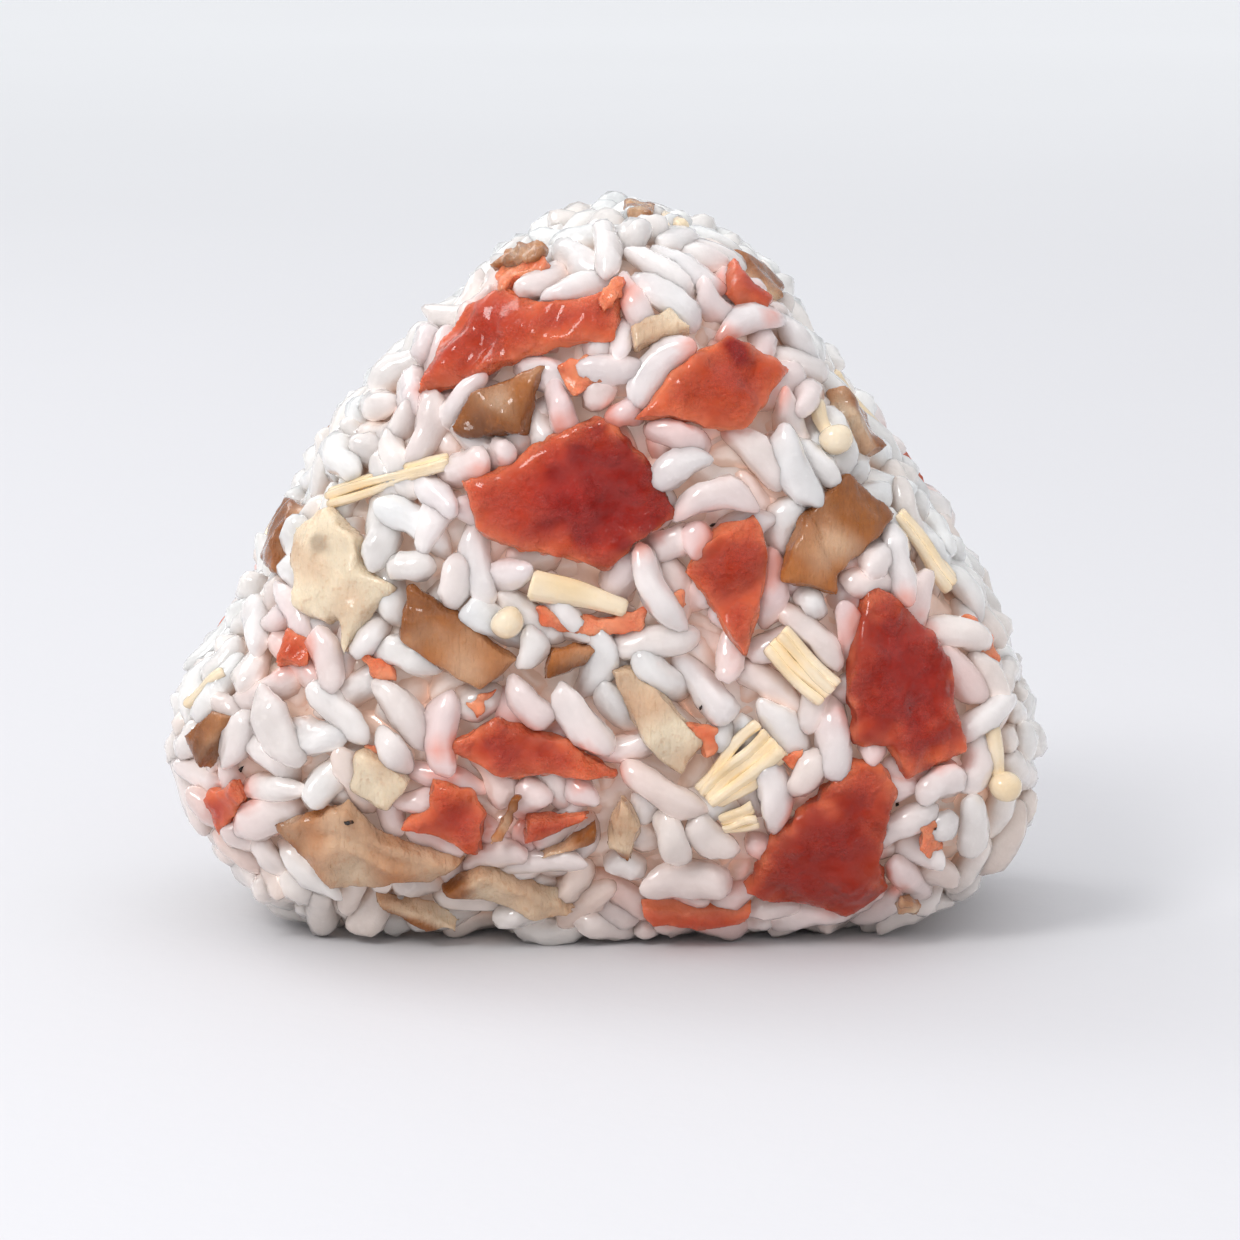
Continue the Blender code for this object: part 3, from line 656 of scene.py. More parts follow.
def mushroom_material(settings):
    """Simmered mushroom: pale flesh that turns to brown skin, with fine fibres."""
    constants = {
        "Subsurface Weight": 0.7,
        "Subsurface Radius": (1.0, 0.66, 0.40),
        "Subsurface Scale": 0.0009,
        "IOR": 1.20,
        "Coat Roughness": 0.08,
        "Coat IOR": 1.38,
    }
    made, tree, shader, place = new_material("mushroom", constants)
    color = settings.flesh_color
    shades = {"tan": settings.tan_color, "skin": settings.skin_color, "dark": settings.gill_color}
    for mask, shade in shades.items():
        color = mixed(tree, read_mask(tree, mask), color, shade)
    body = mottled(tree, place, color, settings.tan_color, (300.0, 0.16), (1500.0, 0.22))
    relief = {"Pore Scale": 4200.0, "Dimple Scale": 1500.0, "Fibres": 2.4, "Stretch": (1.0, 0.6, 0.16)}
    finish_surface(tree, shader, place, body, (450.0, 0.16, 0.34, 1.0), relief, 0.00020)
    return made


def enoki_material(settings):
    """Enoki: cream stems, a little see-through, with fine lengthwise fibres."""
    constants = {
        "Subsurface Weight": 0.9,
        "Subsurface Radius": (1.0, 0.82, 0.50),
        "Subsurface Scale": 0.0010,
        "IOR": 1.40,
        "Coat Roughness": 0.10,
        "Coat IOR": 1.38,
    }
    made, tree, shader, place = new_material("enoki", constants)
    stem = mixed(tree, read_mask(tree, "yellow"), settings.enoki_color, settings.enoki_deep_color)
    body = mottled(tree, place, stem, settings.enoki_deep_color, (350.0, 0.08), (1400.0, 0.25))
    threads = reckoned(tree, "MULTIPLY", read_mask(tree, "thread"), 1.4)
    relief = {"Pore Scale": 3800.0, "Dimple Scale": 1600.0}
    finish_surface(tree, shader, place, body, (420.0, 0.16, 0.34, 0.9), relief, 0.00007, threads)
    return made


def speck_material(settings):
    """A charred speck."""
    made, tree, shader, place = new_material("speck", {"IOR": 1.45, "Coat Roughness": 0.2})
    body = mottled(tree, place, settings.speck_color, settings.skin_color, (1500.0, 0.4), (2600.0, 0.4))
    finish_surface(tree, shader, place, body, (1500.0, 0.15, 0.40, 0.3), {}, 0.00008)
    return made


def stage_material(settings):
    """Matt pale paper for the floor, which turns lighter far from the ball."""
    made, tree, shader, place = new_material("stage", {"Specular IOR Level": 0.2})
    color = mixed(tree, read_mask(tree, "far"), settings.floor_color, settings.wall_color)
    body = mottled(tree, place, color, settings.floor_color, (3.0, 0.01), (40.0, 0.0))
    relief = {"Pore Scale": 900.0, "Dimple Scale": 300.0}
    finish_surface(tree, shader, place, body, (30.0, 0.75, 0.85, 0.0), relief, 0.00005)
    return made


# Meshes


def add_piece(name, points, faces, material, slot=None, nodes=(), masks=None):
    """A smooth mesh object that rides on the ball, stands for nodes and carries masks on its points."""
    mesh = bpy.data.meshes.new(name)
    mesh.from_pydata(np.asarray(points).tolist(), [], [tuple(face) for face in faces])
    mesh.shade_smooth()
    made = bpy.data.objects.new(name, mesh)
    bpy.context.scene.collection.objects.link(made)
    made.data.materials.append(material)
    for label, values in (masks or {}).items():
        mask = mesh.attributes.new(label, "FLOAT", "POINT")
        mask.data.foreach_set("value", np.clip(values, 0, 1).astype(np.float32))
    if slot:
        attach(made, BODY)
        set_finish(made, slot)
    if nodes:
        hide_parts(*nodes)
    return made


def read_vectors(vertices, name):
    """One vector for each vertex of a mesh: its place, co, or its normal."""
    values = np.empty(3 * len(vertices), np.float32)
    vertices.foreach_get(name, values)
    return values.reshape(-1, 3).astype(float)


def node_points(node):
    """The corners of a node's solid."""
    return read_vectors(frame["nodes"][node].data.vertices, "co")


def toppings(kind=""):
    """Names of the nodes that are pressed into the rice, of one kind or all."""
    return sorted(name for name in frame["nodes"] if name != "rice" and name.startswith(kind))


def solids_tree(names):
    """A search tree over the faces of several nodes."""
    points, faces = [], []
    for name in names:
        mesh = frame["nodes"][name].data
        first = len(points)
        points += [vert.co.copy() for vert in mesh.vertices]
        faces += [[first + i for i in poly.vertices] for poly in mesh.polygons]
    return BVHTree.FromPolygons(points, faces)


WELD_DISTANCE = 0.00001
SOFTENING = (0.5, 3)  # factor and repeats


def remeshed(mesh, voxel):
    """Points, normals and faces of a mesh, remeshed closely and softened. The mesh is used up."""
    work = bpy.data.objects.new("work", mesh)
    bpy.context.scene.collection.objects.link(work)
    weld = work.modifiers.new("weld", "WELD")
    weld.merge_threshold = WELD_DISTANCE
    remesh = work.modifiers.new("remesh", "REMESH")
    remesh.mode = "VOXEL"
    remesh.voxel_size = voxel
    soften = work.modifiers.new("soften", "SMOOTH")
    soften.factor, soften.iterations = SOFTENING
    bpy.context.view_layer.update()
    graph = bpy.context.evaluated_depsgraph_get()
    dense = bpy.data.meshes.new_from_object(work.evaluated_get(graph))
    points, normals = (read_vectors(dense.vertices, name) for name in ("co", "normal"))
    faces = [tuple(poly.vertices) for poly in dense.polygons]
    bpy.data.objects.remove(work)
    bpy.data.meshes.remove(mesh)
    bpy.data.meshes.remove(dense)
    return points, normals, faces


def joined(parts):
    """Several lists of points and faces as one."""
    points, faces, used = [], [], 0
    for own_points, own_faces in parts:
        points.append(own_points)
        faces += [tuple(used + i for i in face) for face in own_faces]
        used += len(own_points)
    return np.concatenate(points), faces


def nearest_distances(points, targets):
    """Distance of each point from the nearest target."""
    tree = KDTree(len(targets))
    for i, target in enumerate(targets):
        tree.insert(target, i)
    tree.balance()
    return np.array([tree.find(point)[2] for point in points])


# Rice

Grains = namedtuple("Grains", "middle axis length width outer stand fixed")


def thrown(count, spacing, draw):
    """Points spread evenly over the outside, no two closer than the spacing."""
    tries = on_outside(draw.normal(size=(count, 3)))
    kept = np.empty_like(tries)
    used = 0
    for point in tries:
        if used == 0 or np.linalg.norm(kept[:used] - point, axis=1).min() > spacing:
            kept[used] = point
            used += 1
    return kept[:used]


def chosen_grains():
    """The grains that stand out to the eye, in their places."""
    right, up, _ = sight_frame(FRONT)
    skin = lay_on(FRONT, np.array([grain.place for grain in CHOSEN_GRAINS]) * MM)
    _, normals = surveyed(skin)
    turns = np.radians([grain.turn for grain in CHOSEN_GRAINS])[:, None]
    axis = np.cos(turns) * right + np.sin(turns) * up
    axis = unit(axis - (axis * normals).sum(axis=1)[:, None] * normals)
    lift = np.array([grain.lift for grain in CHOSEN_GRAINS]) * MM - CHOSEN_DEPTH
    length = np.array([grain.length for grain in CHOSEN_GRAINS]) * MM
    width = np.array([grain.width for grain in CHOSEN_GRAINS]) * MM
    yes = np.full(len(skin), True)
    return Grains(skin + lift[:, None] * normals, axis, length, width, yes, np.zeros(len(skin)), yes)


def first_grains(settings, draw):
    """Grains strewn in two layers, turned at random along the surface, after the chosen ones."""
    first = chosen_grains()
    beads, _ = bead_places(first)
    outer_skin = thrown(OUTER_THROWS, settings.outer_spacing, draw)
    under_skin = thrown(UNDER_THROWS, settings.under_spacing, draw)
    away = nearest_distances(outer_skin, beads.reshape(-1, 3))
    outer_skin = outer_skin[away > settings.outer_spacing * CHOSEN_ROOM]
    outer = np.repeat([True, False], [len(outer_skin), len(under_skin)])
    skin = np.concatenate([outer_skin, under_skin])
    count = len(skin)
    _, normals = surveyed(skin)
    depth = np.where(outer, OUTER_DEPTH, UNDER_START) + draw.uniform(*DEPTH_JITTER, count)
    axis = unit(np.cross(normals, draw.normal(size=(count, 3))))
    axis = unit(axis + normals * draw.normal(0, TILT, count)[:, None])
    size = draw.normal(1.0, LENGTH_SPREAD, count).clip(*LENGTH_LIMITS)
    broken = draw.random(count) < BROKEN_SHARE
    length = settings.grain_length * size * np.where(broken, draw.uniform(*BROKEN_LENGTHS, count), 1.0)
    width = settings.grain_width * draw.normal(1.0, WIDTH_SPREAD, count).clip(*WIDTH_LIMITS)
    stand = draw.uniform(*OUTER_STAND, count)
    middle = skin - depth[:, None] * normals
    strewn = Grains(middle, axis, length, width, outer, stand, np.full(count, False))
    return Grains(*(np.concatenate(pair) for pair in zip(first, strewn)))


def bead_places(grains):
    """Centres and radii of each grain's three balls."""
    radius = grains.width * BEAD_SIZE
    half = np.maximum(grains.length / 2 - BEAD_INSET * radius, LEAST_LENGTH)
    places = grains.middle[:, None] + grains.axis[:, None] * (BEADS * half[:, None])[..., None]
    return places, radius


def near_pairs(grains):
    """Pairs of grains that could touch."""
    middle, reach = grains.middle, grains.length / 2
    firsts, seconds = [], []
    for i in range(len(middle) - 1):
        away = np.linalg.norm(middle[i + 1 :] - middle[i], axis=1)
        near = np.nonzero(away < reach[i] + reach[i + 1 :] + NEIGHBOUR_MARGIN)[0] + i + 1
        firsts.append(np.full(len(near), i))
        seconds.append(near)
    return np.concatenate(firsts), np.concatenate(seconds)


def pushed_apart(beads, radius, pairs, overlap):
    """The moves that part the balls of neighbouring grains, down to the overlap that stays."""
    first, second = pairs
    move = np.zeros_like(beads)
    apart = beads[first][:, :, None] - beads[second][:, None, :]
    away = np.linalg.norm(apart, axis=3)
    wanted = (1 - overlap) * (radius[first] + radius[second])
    short = np.maximum(wanted[:, None, None] - away, 0)
    push = apart * (short / np.maximum(away, TINY) * PUSH)[..., None]
    np.add.at(move, first, push.sum(axis=2))
    np.add.at(move, second, -push.sum(axis=1))
    return move


def packed(grains, overlap):
    """Pushes the grains apart, off the toppings and under the outside, keeping each one rigid."""
    tree = solids_tree(toppings())
    outer = np.repeat(grains.outer, len(BEADS))
    stand = np.repeat(grains.stand, len(BEADS))
    deepest = np.where(outer, -OUTER_FLOOR, -UNDER_FLOOR)
    for step in range(PACKING_STEPS):
        if step % PACKING_REFRESH == 0:
            pairs = near_pairs(grains)
        beads, radius = bead_places(grains)
        move = pushed_apart(beads, radius, pairs, overlap)
        flat = beads.reshape(-1, 3)
        radii = np.repeat(radius, len(BEADS))
        height, normals = surveyed(flat)
        highest = np.where(outer, -stand * radii, -UNDER_DEPTH)
        inwards = np.maximum(height - highest, 0) * SKIN_PUSH
        outwards = np.maximum(deepest - height, 0) * DEPTH_PUSH
        pull = (outwards - inwards)[:, None] * normals
        if step % 2:
            pull += TOPPING_PUSH * off_toppings(flat, radii, tree)
        pull[:, 2] += np.maximum(GROUND_STAND * radii - flat[:, 2], 0) * SKIN_PUSH
        move += pull.reshape(beads.shape)
        move[grains.fixed] = 0
        beads += move
        grains = grains._replace(middle=beads.mean(axis=1), axis=unit(beads[:, 2] - beads[:, 0]))
    beads, radius = bead_places(grains)
    sunk = off_toppings(beads.reshape(-1, 3), np.repeat(radius, len(BEADS)), tree)
    sunk = np.linalg.norm(sunk, axis=1).reshape(len(radius), -1).max(axis=1)
    return picked(grains, grains.fixed | (sunk < WORST_SINK))


def off_toppings(points, radii, tree):
    """The moves that bring these balls to the surface of the nearest topping, sunk in a little."""
    moves = np.zeros_like(points)
    for i, (point, radius) in enumerate(zip(points, radii)):
        centre = Vector(point)
        nearest, normal, _, away = tree.find_nearest(centre, radius)
        if nearest is None:
            nearest, normal, _, away = tree.find_nearest(centre, TOPPING_SEARCH)
            if nearest is None or (centre - nearest).dot(normal) >= 0:
                continue
        wanted = radius - TOPPING_SINK
        if (centre - nearest).dot(normal) < 0:
            moves[i] = np.array(normal) * (wanted + away)
        elif away < wanted:
            moves[i] = np.array(centre - nearest) / max(away, TINY) * (wanted - away)
    return moves


def band(low, high, sides):
    """Faces between two rings of points, each given as the number of its first point."""
    return [
        (low + i, low + (i + 1) % sides, high + (i + 1) % sides, high + i) for i in range(sides)
    ]


def grain_faces(rings, sides):
    """Faces of one grain: rings of points and two tips at the end of the list."""
    faces = []
    for ring in range(rings - 1):
        faces += band(ring * sides, (ring + 1) * sides, sides)
    start, end = rings * sides, rings * sides + 1
    for i in range(sides):
        j = (i + 1) % sides
        faces.append((start, j, i))
        faces.append((end, (rings - 1) * sides + i, (rings - 1) * sides + j))
    return faces


def blunted(along, count, draw):
    """Thickness of each grain along its length, each end blunt in its own way."""
    blunt = np.where(along > 0, draw.uniform(*BLUNT_END, (count, 1)), draw.uniform(*BLUNT_START, (count, 1)))
    return np.clip(1 - np.abs(along) ** blunt, 0, 1) ** draw.uniform(*BLUNT_POWER, (count, 1))


def turned_from(turns, place):
    """Turns measured from a place on the ring, from minus a half turn to a half turn."""
    return np.angle(np.exp(1j * (turns - place)))


def lumped(along, turns, count, draw):
    """Unevenness of each grain's thickness: lumps, one crease, a notch for the germ, and a taper."""
    phase = draw.uniform(0, TURN, (count, 6))
    lump = 1 + 0.08 * np.sin(2 * turns + phase[:, :1] + 2.0 * along)
    lump += 0.06 * np.sin(3 * turns + phase[:, 1:2]) * np.cos(2.5 * along + phase[:, 2:3])
    lump += 0.045 * np.sin(5 * along + phase[:, 3:4]) + 0.02 * np.sin(5 * turns + phase[:, 2:3])
    crease = np.exp(-((turned_from(turns, phase[:, 4:5]) / CREASE_WIDTH) ** 2))
    lump -= draw.uniform(*CREASE, (count, 1)) * crease
    notch = np.exp(-((turned_from(turns, phase[:, 5:6]) / NOTCH_WIDTH) ** 2)) * smooth_step(along, 0.45, 0.95)
    lump -= draw.uniform(*NOTCH, (count, 1)) * notch
    return lump * (1 + draw.uniform(*TAPER, (count, 1)) * along)


def knocked(points, centres):
    """Points moved a little towards or away from their grain's middle, in soft ripples."""
    away = points - centres
    away /= np.maximum(np.linalg.norm(away, axis=1), TINY)[:, None]
    depth = sum(knock * ripples(points, length, SEED + 8 + i) for i, (knock, length) in enumerate(KNOCKS))
    return points + depth[:, None] * away


def grain_points(grains, thickness, rings, sides, draw):
    """Points of all the grains, each bent, tapered, creased and dented in its own way.

    Gives the points, the faces, and how far each point is along its grain, from -1 to 1.
    """
    count = len(grains.middle)
    ring_places = -np.cos(np.pi * np.arange(1, rings + 1) / (rings + 1))
    along = np.concatenate([np.repeat(ring_places, sides), [-1.0, 1.0]])
    turns = np.concatenate([np.tile(TURN * np.arange(sides) / sides, rings), [0.0, 0.0]])
    radius = blunted(along, count, draw) * lumped(along, turns, count, draw)
    across = radius * np.cos(turns) * grains.width[:, None] / 2
    up = radius * np.sin(turns) * grains.width[:, None] / 2 * thickness
    bend = draw.normal(0, BEND, (count, 2))
    curve = (along**2 - 0.4)[None] * grains.length[:, None]
    across += bend[:, :1] * curve
    up += bend[:, 1:] * curve
    forwards = along[None] * grains.length[:, None] / 2
    _, normals = surveyed(grains.middle)
    side = np.cross(normals, grains.axis)
    side /= np.maximum(np.linalg.norm(side, axis=1), TINY)[:, None]
    roll = draw.normal(0, ROLL, (count, 1))
    rise = np.cross(grains.axis, side)
    side, rise = np.cos(roll) * side + np.sin(roll) * rise, np.cos(roll) * rise - np.sin(roll) * side
    points = grains.middle[:, None] + forwards[..., None] * grains.axis[:, None]
    points = points + across[..., None] * side[:, None] + up[..., None] * rise[:, None]
    points = knocked(points.reshape(-1, 3), np.repeat(grains.middle, len(along), axis=0))
    keep_above(points, GRAIN_GROUND)
    one = grain_faces(rings, sides)
    faces = [tuple(i + first for i in face) for first in range(0, len(points), len(along)) for face in one]
    return points, faces, np.tile(along, count)


def juice_masks(points, seed):
    """How pink the rice is near the plum, and how orange where the plum touches it."""
    plums = toppings("plum")
    targets = np.concatenate([*map(node_points, plums), edge_middles(plums)])
    away = nearest_distances(points, targets)
    uneven = JUICE_MEAN + JUICE_CLOUDS * ripples(points, JUICE_LENGTH, seed)
    juice = JUICE_NEAR * np.exp(-away / JUICE_REACH) * uneven + JUICE_FAR * np.exp(-away / JUICE_FAR_REACH)
    return juice, SMEAR * smooth_step(juice, *SMEAR_FROM)


def deep_broth(points):
    """Painted warm shade between the grains: stronger deep down and low on the ball."""
    height, _ = surveyed(points)
    low = smooth_step(-points[:, 2], -BROTH_TOP, 0.0)
    return BROTH_DEEP * smooth_step(-height, *BROTH_DEPTHS) + BROTH_LOW * low


def edge_middles(names):
    """Middles of the edges of several nodes, so that their points lie closer."""
    middles = []
    for name in names:
        mesh = frame["nodes"][name].data
        points = node_points(name)
        ends = np.array([edge.vertices[:] for edge in mesh.edges])
        middles.append(points[ends].mean(axis=1))
    return np.concatenate(middles)


def add_grains(name, grains, settings, material, rings, sides, draw):
    """One piece of rice made of many grains, with its masks."""
    thickness = settings.grain_thickness / settings.grain_width
    points, faces, along = grain_points(grains, thickness, rings, sides, draw)
    size = rings * sides + 2
    each = np.repeat(draw.beta(2.0, 2.0, len(grains.middle)), size)
    milk = MILK_EACH * each + MILK_HEART * (1 - np.abs(along) ** 3)
    milk += MILK_CLOUDS * ripples(points, MILK_LENGTH, SEED)
    juice, smear = juice_masks(points, SEED + 5)
    whole, _ = juice_masks(grains.middle, SEED + 5)
    juice = WHOLE_GRAIN_JUICE * np.repeat(whole, size) + (1 - WHOLE_GRAIN_JUICE) * juice
    # Broth: a tint that differs from grain to grain, plus painted warm shade deep down and low on the ball
    broth = BROTH_EACH * np.repeat(draw.beta(1.2, 3.0, len(grains.middle)), size) + deep_broth(points)
    height, _ = surveyed(points)
    # Mask of the painted glow: none near the outside, full deep down
    deep = smooth_step(-height, *GLOW_DEPTHS)
    masks = {"milk": milk, "juice": juice, "smear": smear, "broth": broth, "deep": deep}
    return add_piece(name, points, faces, material, "rice", ["rice"], masks)


def add_core(settings, material):
    """The heart of the ball, bumpy like packed grains, which shows only deep between them."""
    shape = bmesh.new()
    bmesh.ops.create_icosphere(shape, subdivisions=CORE_FINENESS, radius=1.0)
    skin = on_outside(np.array([vert.co for vert in shape.verts]))
    faces = [tuple(vert.index for vert in face.verts) for face in shape.faces]
    shape.free()
    _, normals = surveyed(skin)
    bumps = sum(rise * ripples(skin, length, SEED + 2 + i) for i, (rise, length) in enumerate(CORE_BUMPS))
    points = skin - (CORE_DEPTH - bumps)[:, None] * normals
    keep_above(points, CORE_GROUND)
    juice, smear = juice_masks(points, SEED + 5)
    milk = 0.4 + 0.2 * ripples(points, 0.004, SEED)
    # The core shows only deep in the gaps, so its broth tint is mostly painted warm shade
    broth = 0.5 + 0.2 * ripples(points, 0.007, SEED)
    # The core gets the full painted glow
    masks = {"milk": milk, "juice": juice, "smear": smear, "broth": broth, "deep": np.ones(len(points))}
    return add_piece("rice_core", points, faces, material, "rice", ["rice"], masks)


def picked(grains, mask):
    """Some of the grains."""
    return Grains(*(values[mask] for values in grains))


def build_rice(settings):
    """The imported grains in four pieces, by layer and look, and the core."""
    draw = np.random.default_rng(SEED)
    grains = packed(first_grains(settings, draw), settings.overlap)
    clear = rice_material("rice_clear", settings, CLEAR_MILKINESS)
    milky = rice_material("rice_milky", settings, MILKY_MILKINESS)
    # This material paints a glow on the rice underneath and on the core
    deep = rice_material("rice_deep", settings, MILKY_MILKINESS, glowing=True)
    broken = grains.length < WHOLE_LENGTH * settings.grain_length
    share = draw.random(len(broken))
    kinds = {
        "rice_grains_clear": (grains.outer & ~broken & (share < CLEAR_SHARE), clear, *WHOLE_MESH),
        "rice_grains_milky": (grains.outer & ~broken & (share >= CLEAR_SHARE), milky, *WHOLE_MESH),
        "rice_grains_broken": (grains.outer & broken, clear, *BROKEN_MESH),
        "rice_grains_under": (~grains.outer, deep, *UNDER_MESH),
    }
    for name, (mask, material, rings, sides) in kinds.items():
        add_grains(name, picked(grains, mask), settings, material, rings, sides, draw)
    add_core(settings, deep)


# Toppings

# Plum: how orange a piece is, from 0, crimson, to 1, orange
PLUM_WARMTH = {
    "plum_centre": 0.25, "plum_centre_right": 0.4, "plum_low_edge": 0.1, "plum_foot": 0.2,
    "plum_low_left": 0.35, "plum_low_upper": 0.45, "plum_low_small": 0.5, "plum_ridge": 0.15,
    "plum_right_lower": 0.5, "plum_right_upper": 0.4, "plum_top_left": 0.55, "plum_upper_right": 0.95,
    "plum_left_small": 0.6,
}
OTHER_WARMTH = 0.5
# Dark places: where they are in millimetres from the front, their radius and how dark they are. Those on the
# two right-hand plum pieces are painted shade.
DARK_PLACES = {
    "plum_centre": ((1.5, 38.0), 6.5, 0.95),
    "plum_upper_right": ((12.2, 50.6), 1.5, 1.0),
    # Painted shade over most of the right-hand plum pieces, which face away from the light
    "plum_right_upper": ((26.5, 22.5), 9.0, 0.75),
    "plum_right_lower": ((20.5, 4.0), 10.0, 0.65),
    "plum_low_upper": ((-7.5, 16.5), 3.0, 0.5),
    "plum_centre_right": ((12.0, 32.0), 3.0, 0.4),
    "mushroom_cap_upper": ((-11.0, 43.0), 2.2, 0.65),
    "mushroom_fork": ((-24.8, 33.5), 1.3, 0.45),
    "mushroom_mid_small": ((-2.5, 22.2), 1.6, 0.5),
    "mushroom_left_edge": ((-35.0, 15.0), 2.0, 0.5),
}
# Mushroom: how brown the flesh is, how much skin there is, and towards which angle the skin lies
Slice = namedtuple("Slice", "tan skin towards")
SLICES = {
    "mushroom_cap_upper": Slice(0.9, 0.75, 250),
    "mushroom_cap_right": Slice(0.85, 0.55, 70),
    "mushroom_fork": Slice(0.05, 0.0, 0),
    "mushroom_left_cap": Slice(0.8, 0.7, 160),
    "mushroom_mid_left": Slice(0.85, 0.5, 120),
    "mushroom_mid_small": Slice(0.95, 0.5, 270),
    "mushroom_stem": Slice(0.25, 0.0, 0),
    "mushroom_pale": Slice(0.35, 0.0, 0),
    "mushroom_low_left": Slice(0.6, 0.3, 200),
    "mushroom_low_rim": Slice(0.5, 0.4, 250),
    "mushroom_foot": Slice(0.4, 0.25, 230),
    "mushroom_tip": Slice(0.3, 0.25, 270),
    "mushroom_pink": Slice(0.15, 0.1, 180),
    "mushroom_left_edge": Slice(0.6, 0.6, 180),
    "mushroom_ridge": Slice(0.6, 0.6, 40),
    "mushroom_slope": Slice(0.5, 0.4, 30),
    "mushroom_curl": Slice(0.55, 0.5, 60),
}
OTHER_SLICE = Slice(0.55, 0.45, 100)


# How a topping's surface leaves its solid's: heights of the soft drape and of the wrinkles,
# how ragged the rim is and how much thinner, in metres
Surface = namedtuple("Surface", "voxel drape wrinkle ragged thinning")
PLUM_SURFACE = Surface(0.00032, 0.00022, 0.00004, 0.00011, 0.00040)
MUSHROOM_SURFACE = Surface(0.00032, 0.00018, 0.00003, 0.00008, 0.00022)
PLUM_SEED, MUSHROOM_SEED = 40, 80
DRAPE_LENGTH, WRINKLE_LENGTH, RAGGED_LENGTH = 0.0046, 0.0016, 0.0021
RIM_WIDTH = 0.0011
SIDE_FACING = 0.45  # faces that look outwards less than this are the side of a piece
PIECE_GROUND = 0.0003


def rim_distance(points, normals, out):
    """Distance of each point from the rim of a flat piece, measured from its side faces."""
    side = np.abs((normals * out).sum(axis=1)) < SIDE_FACING
    return nearest_distances(points, points[side]) if side.any() else np.full(len(points), 1.0)


def shape_topping(node, surface, seed):
    """A flat node, remeshed: draped in soft waves, wrinkled, with an uneven thin rim."""
    points, normals, faces = remeshed(frame["nodes"][node].data.copy(), surface.voxel)
    _, out = surveyed(points)
    facing = (normals * out).sum(axis=1)
    rim = rim_distance(points, normals, out)
    sideways = normals - facing[:, None] * out
    moved = points + (surface.ragged * ripples(points, RAGGED_LENGTH, seed))[:, None] * sideways
    sag = surface.drape * ripples(points, DRAPE_LENGTH, seed + 2)
    sag += surface.wrinkle * ripples(points, WRINKLE_LENGTH, seed + 3)
    sag -= surface.thinning * np.exp(-rim / RIM_WIDTH)
    moved += (smooth_step(facing, -0.2, 0.6) * sag)[:, None] * out
    keep_above(moved, PIECE_GROUND)
    return moved, faces, rim


FAINT_CLOUDS = 0.35  # how dark a topping without a dark place gets here and there
PLACE_SPREAD, PLACE_WANDER = 1.3, 0.18  # a dark place ends at this share of its radius, unevenly


def dark_mask(node, points, seed):
    """How dark a topping is: at its dark place, or else in faint clouds."""
    if node not in DARK_PLACES:
        return FAINT_CLOUDS * smooth_step(ripples(points, 0.009, seed), 0.3, 1.4)
    place, radius, amount = DARK_PLACES[node]
    middle = lay_on(FRONT, np.array([place]) * MM)[0]
    away = np.linalg.norm(points - middle, axis=1) / (radius * MM)
    uneven = PLACE_WANDER * ripples(points, 0.0025, seed)
    return amount * smooth_step(PLACE_SPREAD - away + uneven, 0.0, 0.9)


# How strong the orange rim and the light edge of the plum are, and how far in they reach
RIM_ORANGE, RIM_REACH, RIM_WANDER = 0.75, 0.0016, 0.0004
EDGE_LIGHT, EDGE_REACH = 0.5, 0.0005
WARMTH_CLOUDS = 0.15


def build_plum(material):
    """Torn pieces of pickled plum, one for each plum node."""
    for seed, node in enumerate(toppings("plum")):
        points, faces, rim = shape_topping(node, PLUM_SURFACE, PLUM_SEED + seed)
        uneven = RIM_WANDER * ripples(points, 0.004, seed)
        masks = {
            "rim": RIM_ORANGE * np.exp(-np.maximum(rim + uneven, 0) / RIM_REACH),
            "warmth": PLUM_WARMTH.get(node, OTHER_WARMTH) + WARMTH_CLOUDS * ripples(points, 0.007, seed + 9),
            "thin": EDGE_LIGHT * np.exp(-rim / EDGE_REACH),
            "dark": dark_mask(node, points, seed),
        }
        add_piece(f"{node}_flesh", points, faces, material, "plum", [node], masks)


# Folds of a slice on the front: both ends in millimetres
FOLDS = {
    "mushroom_cap_upper": ((-5.0, 48.0), (-7.4, 42.0)),
    "mushroom_cap_right": ((18.2, 35.4), (20.9, 29.2)),
    "mushroom_mid_left": ((-19.0, 28.4), (-15.6, 26.6)),
    "mushroom_low_left": ((-26.0, 6.6), (-18.0, 4.4)),
}
FOLD_HEIGHT = 0.00030
FOLD_WIDTH = 0.0006
CREASE_OFFSET, CREASE_HALF, CREASE_DEPTH = 0.0010, 0.0005, 0.8
FOLD_FADE = (-0.35, 0.1)  # a fold fades out round both ends, in shares of its length
FOLD_WANDER, FOLD_WANDER_LENGTH = 0.0003, 0.005


def fold_height(node, points):
    """A soft step along the fold of a slice, with a crease beside it."""
    if node not in FOLDS:
        return np.zeros(len(points))
    start, end = lay_on(FRONT, np.array(FOLDS[node]) * MM)
    right, up, _ = sight_frame(FRONT)
    along = np.array([(end - start) @ right, (end - start) @ up])
    offset = np.stack([(points - start) @ right, (points - start) @ up], axis=1)
    beside = (along[0] * offset[:, 1] - along[1] * offset[:, 0]) / np.linalg.norm(along)
    beside += FOLD_WANDER * ripples(points, FOLD_WANDER_LENGTH, SEED + 4)
    share = offset @ along / (along @ along)
    fade = smooth_step(share, *FOLD_FADE) * smooth_step(1 - share, *FOLD_FADE)
    ridge = np.exp(-((beside / FOLD_WIDTH) ** 2))
    ridge -= CREASE_DEPTH * np.exp(-(((beside - CREASE_OFFSET) / CREASE_HALF) ** 2))
    return FOLD_HEIGHT * fade * ridge


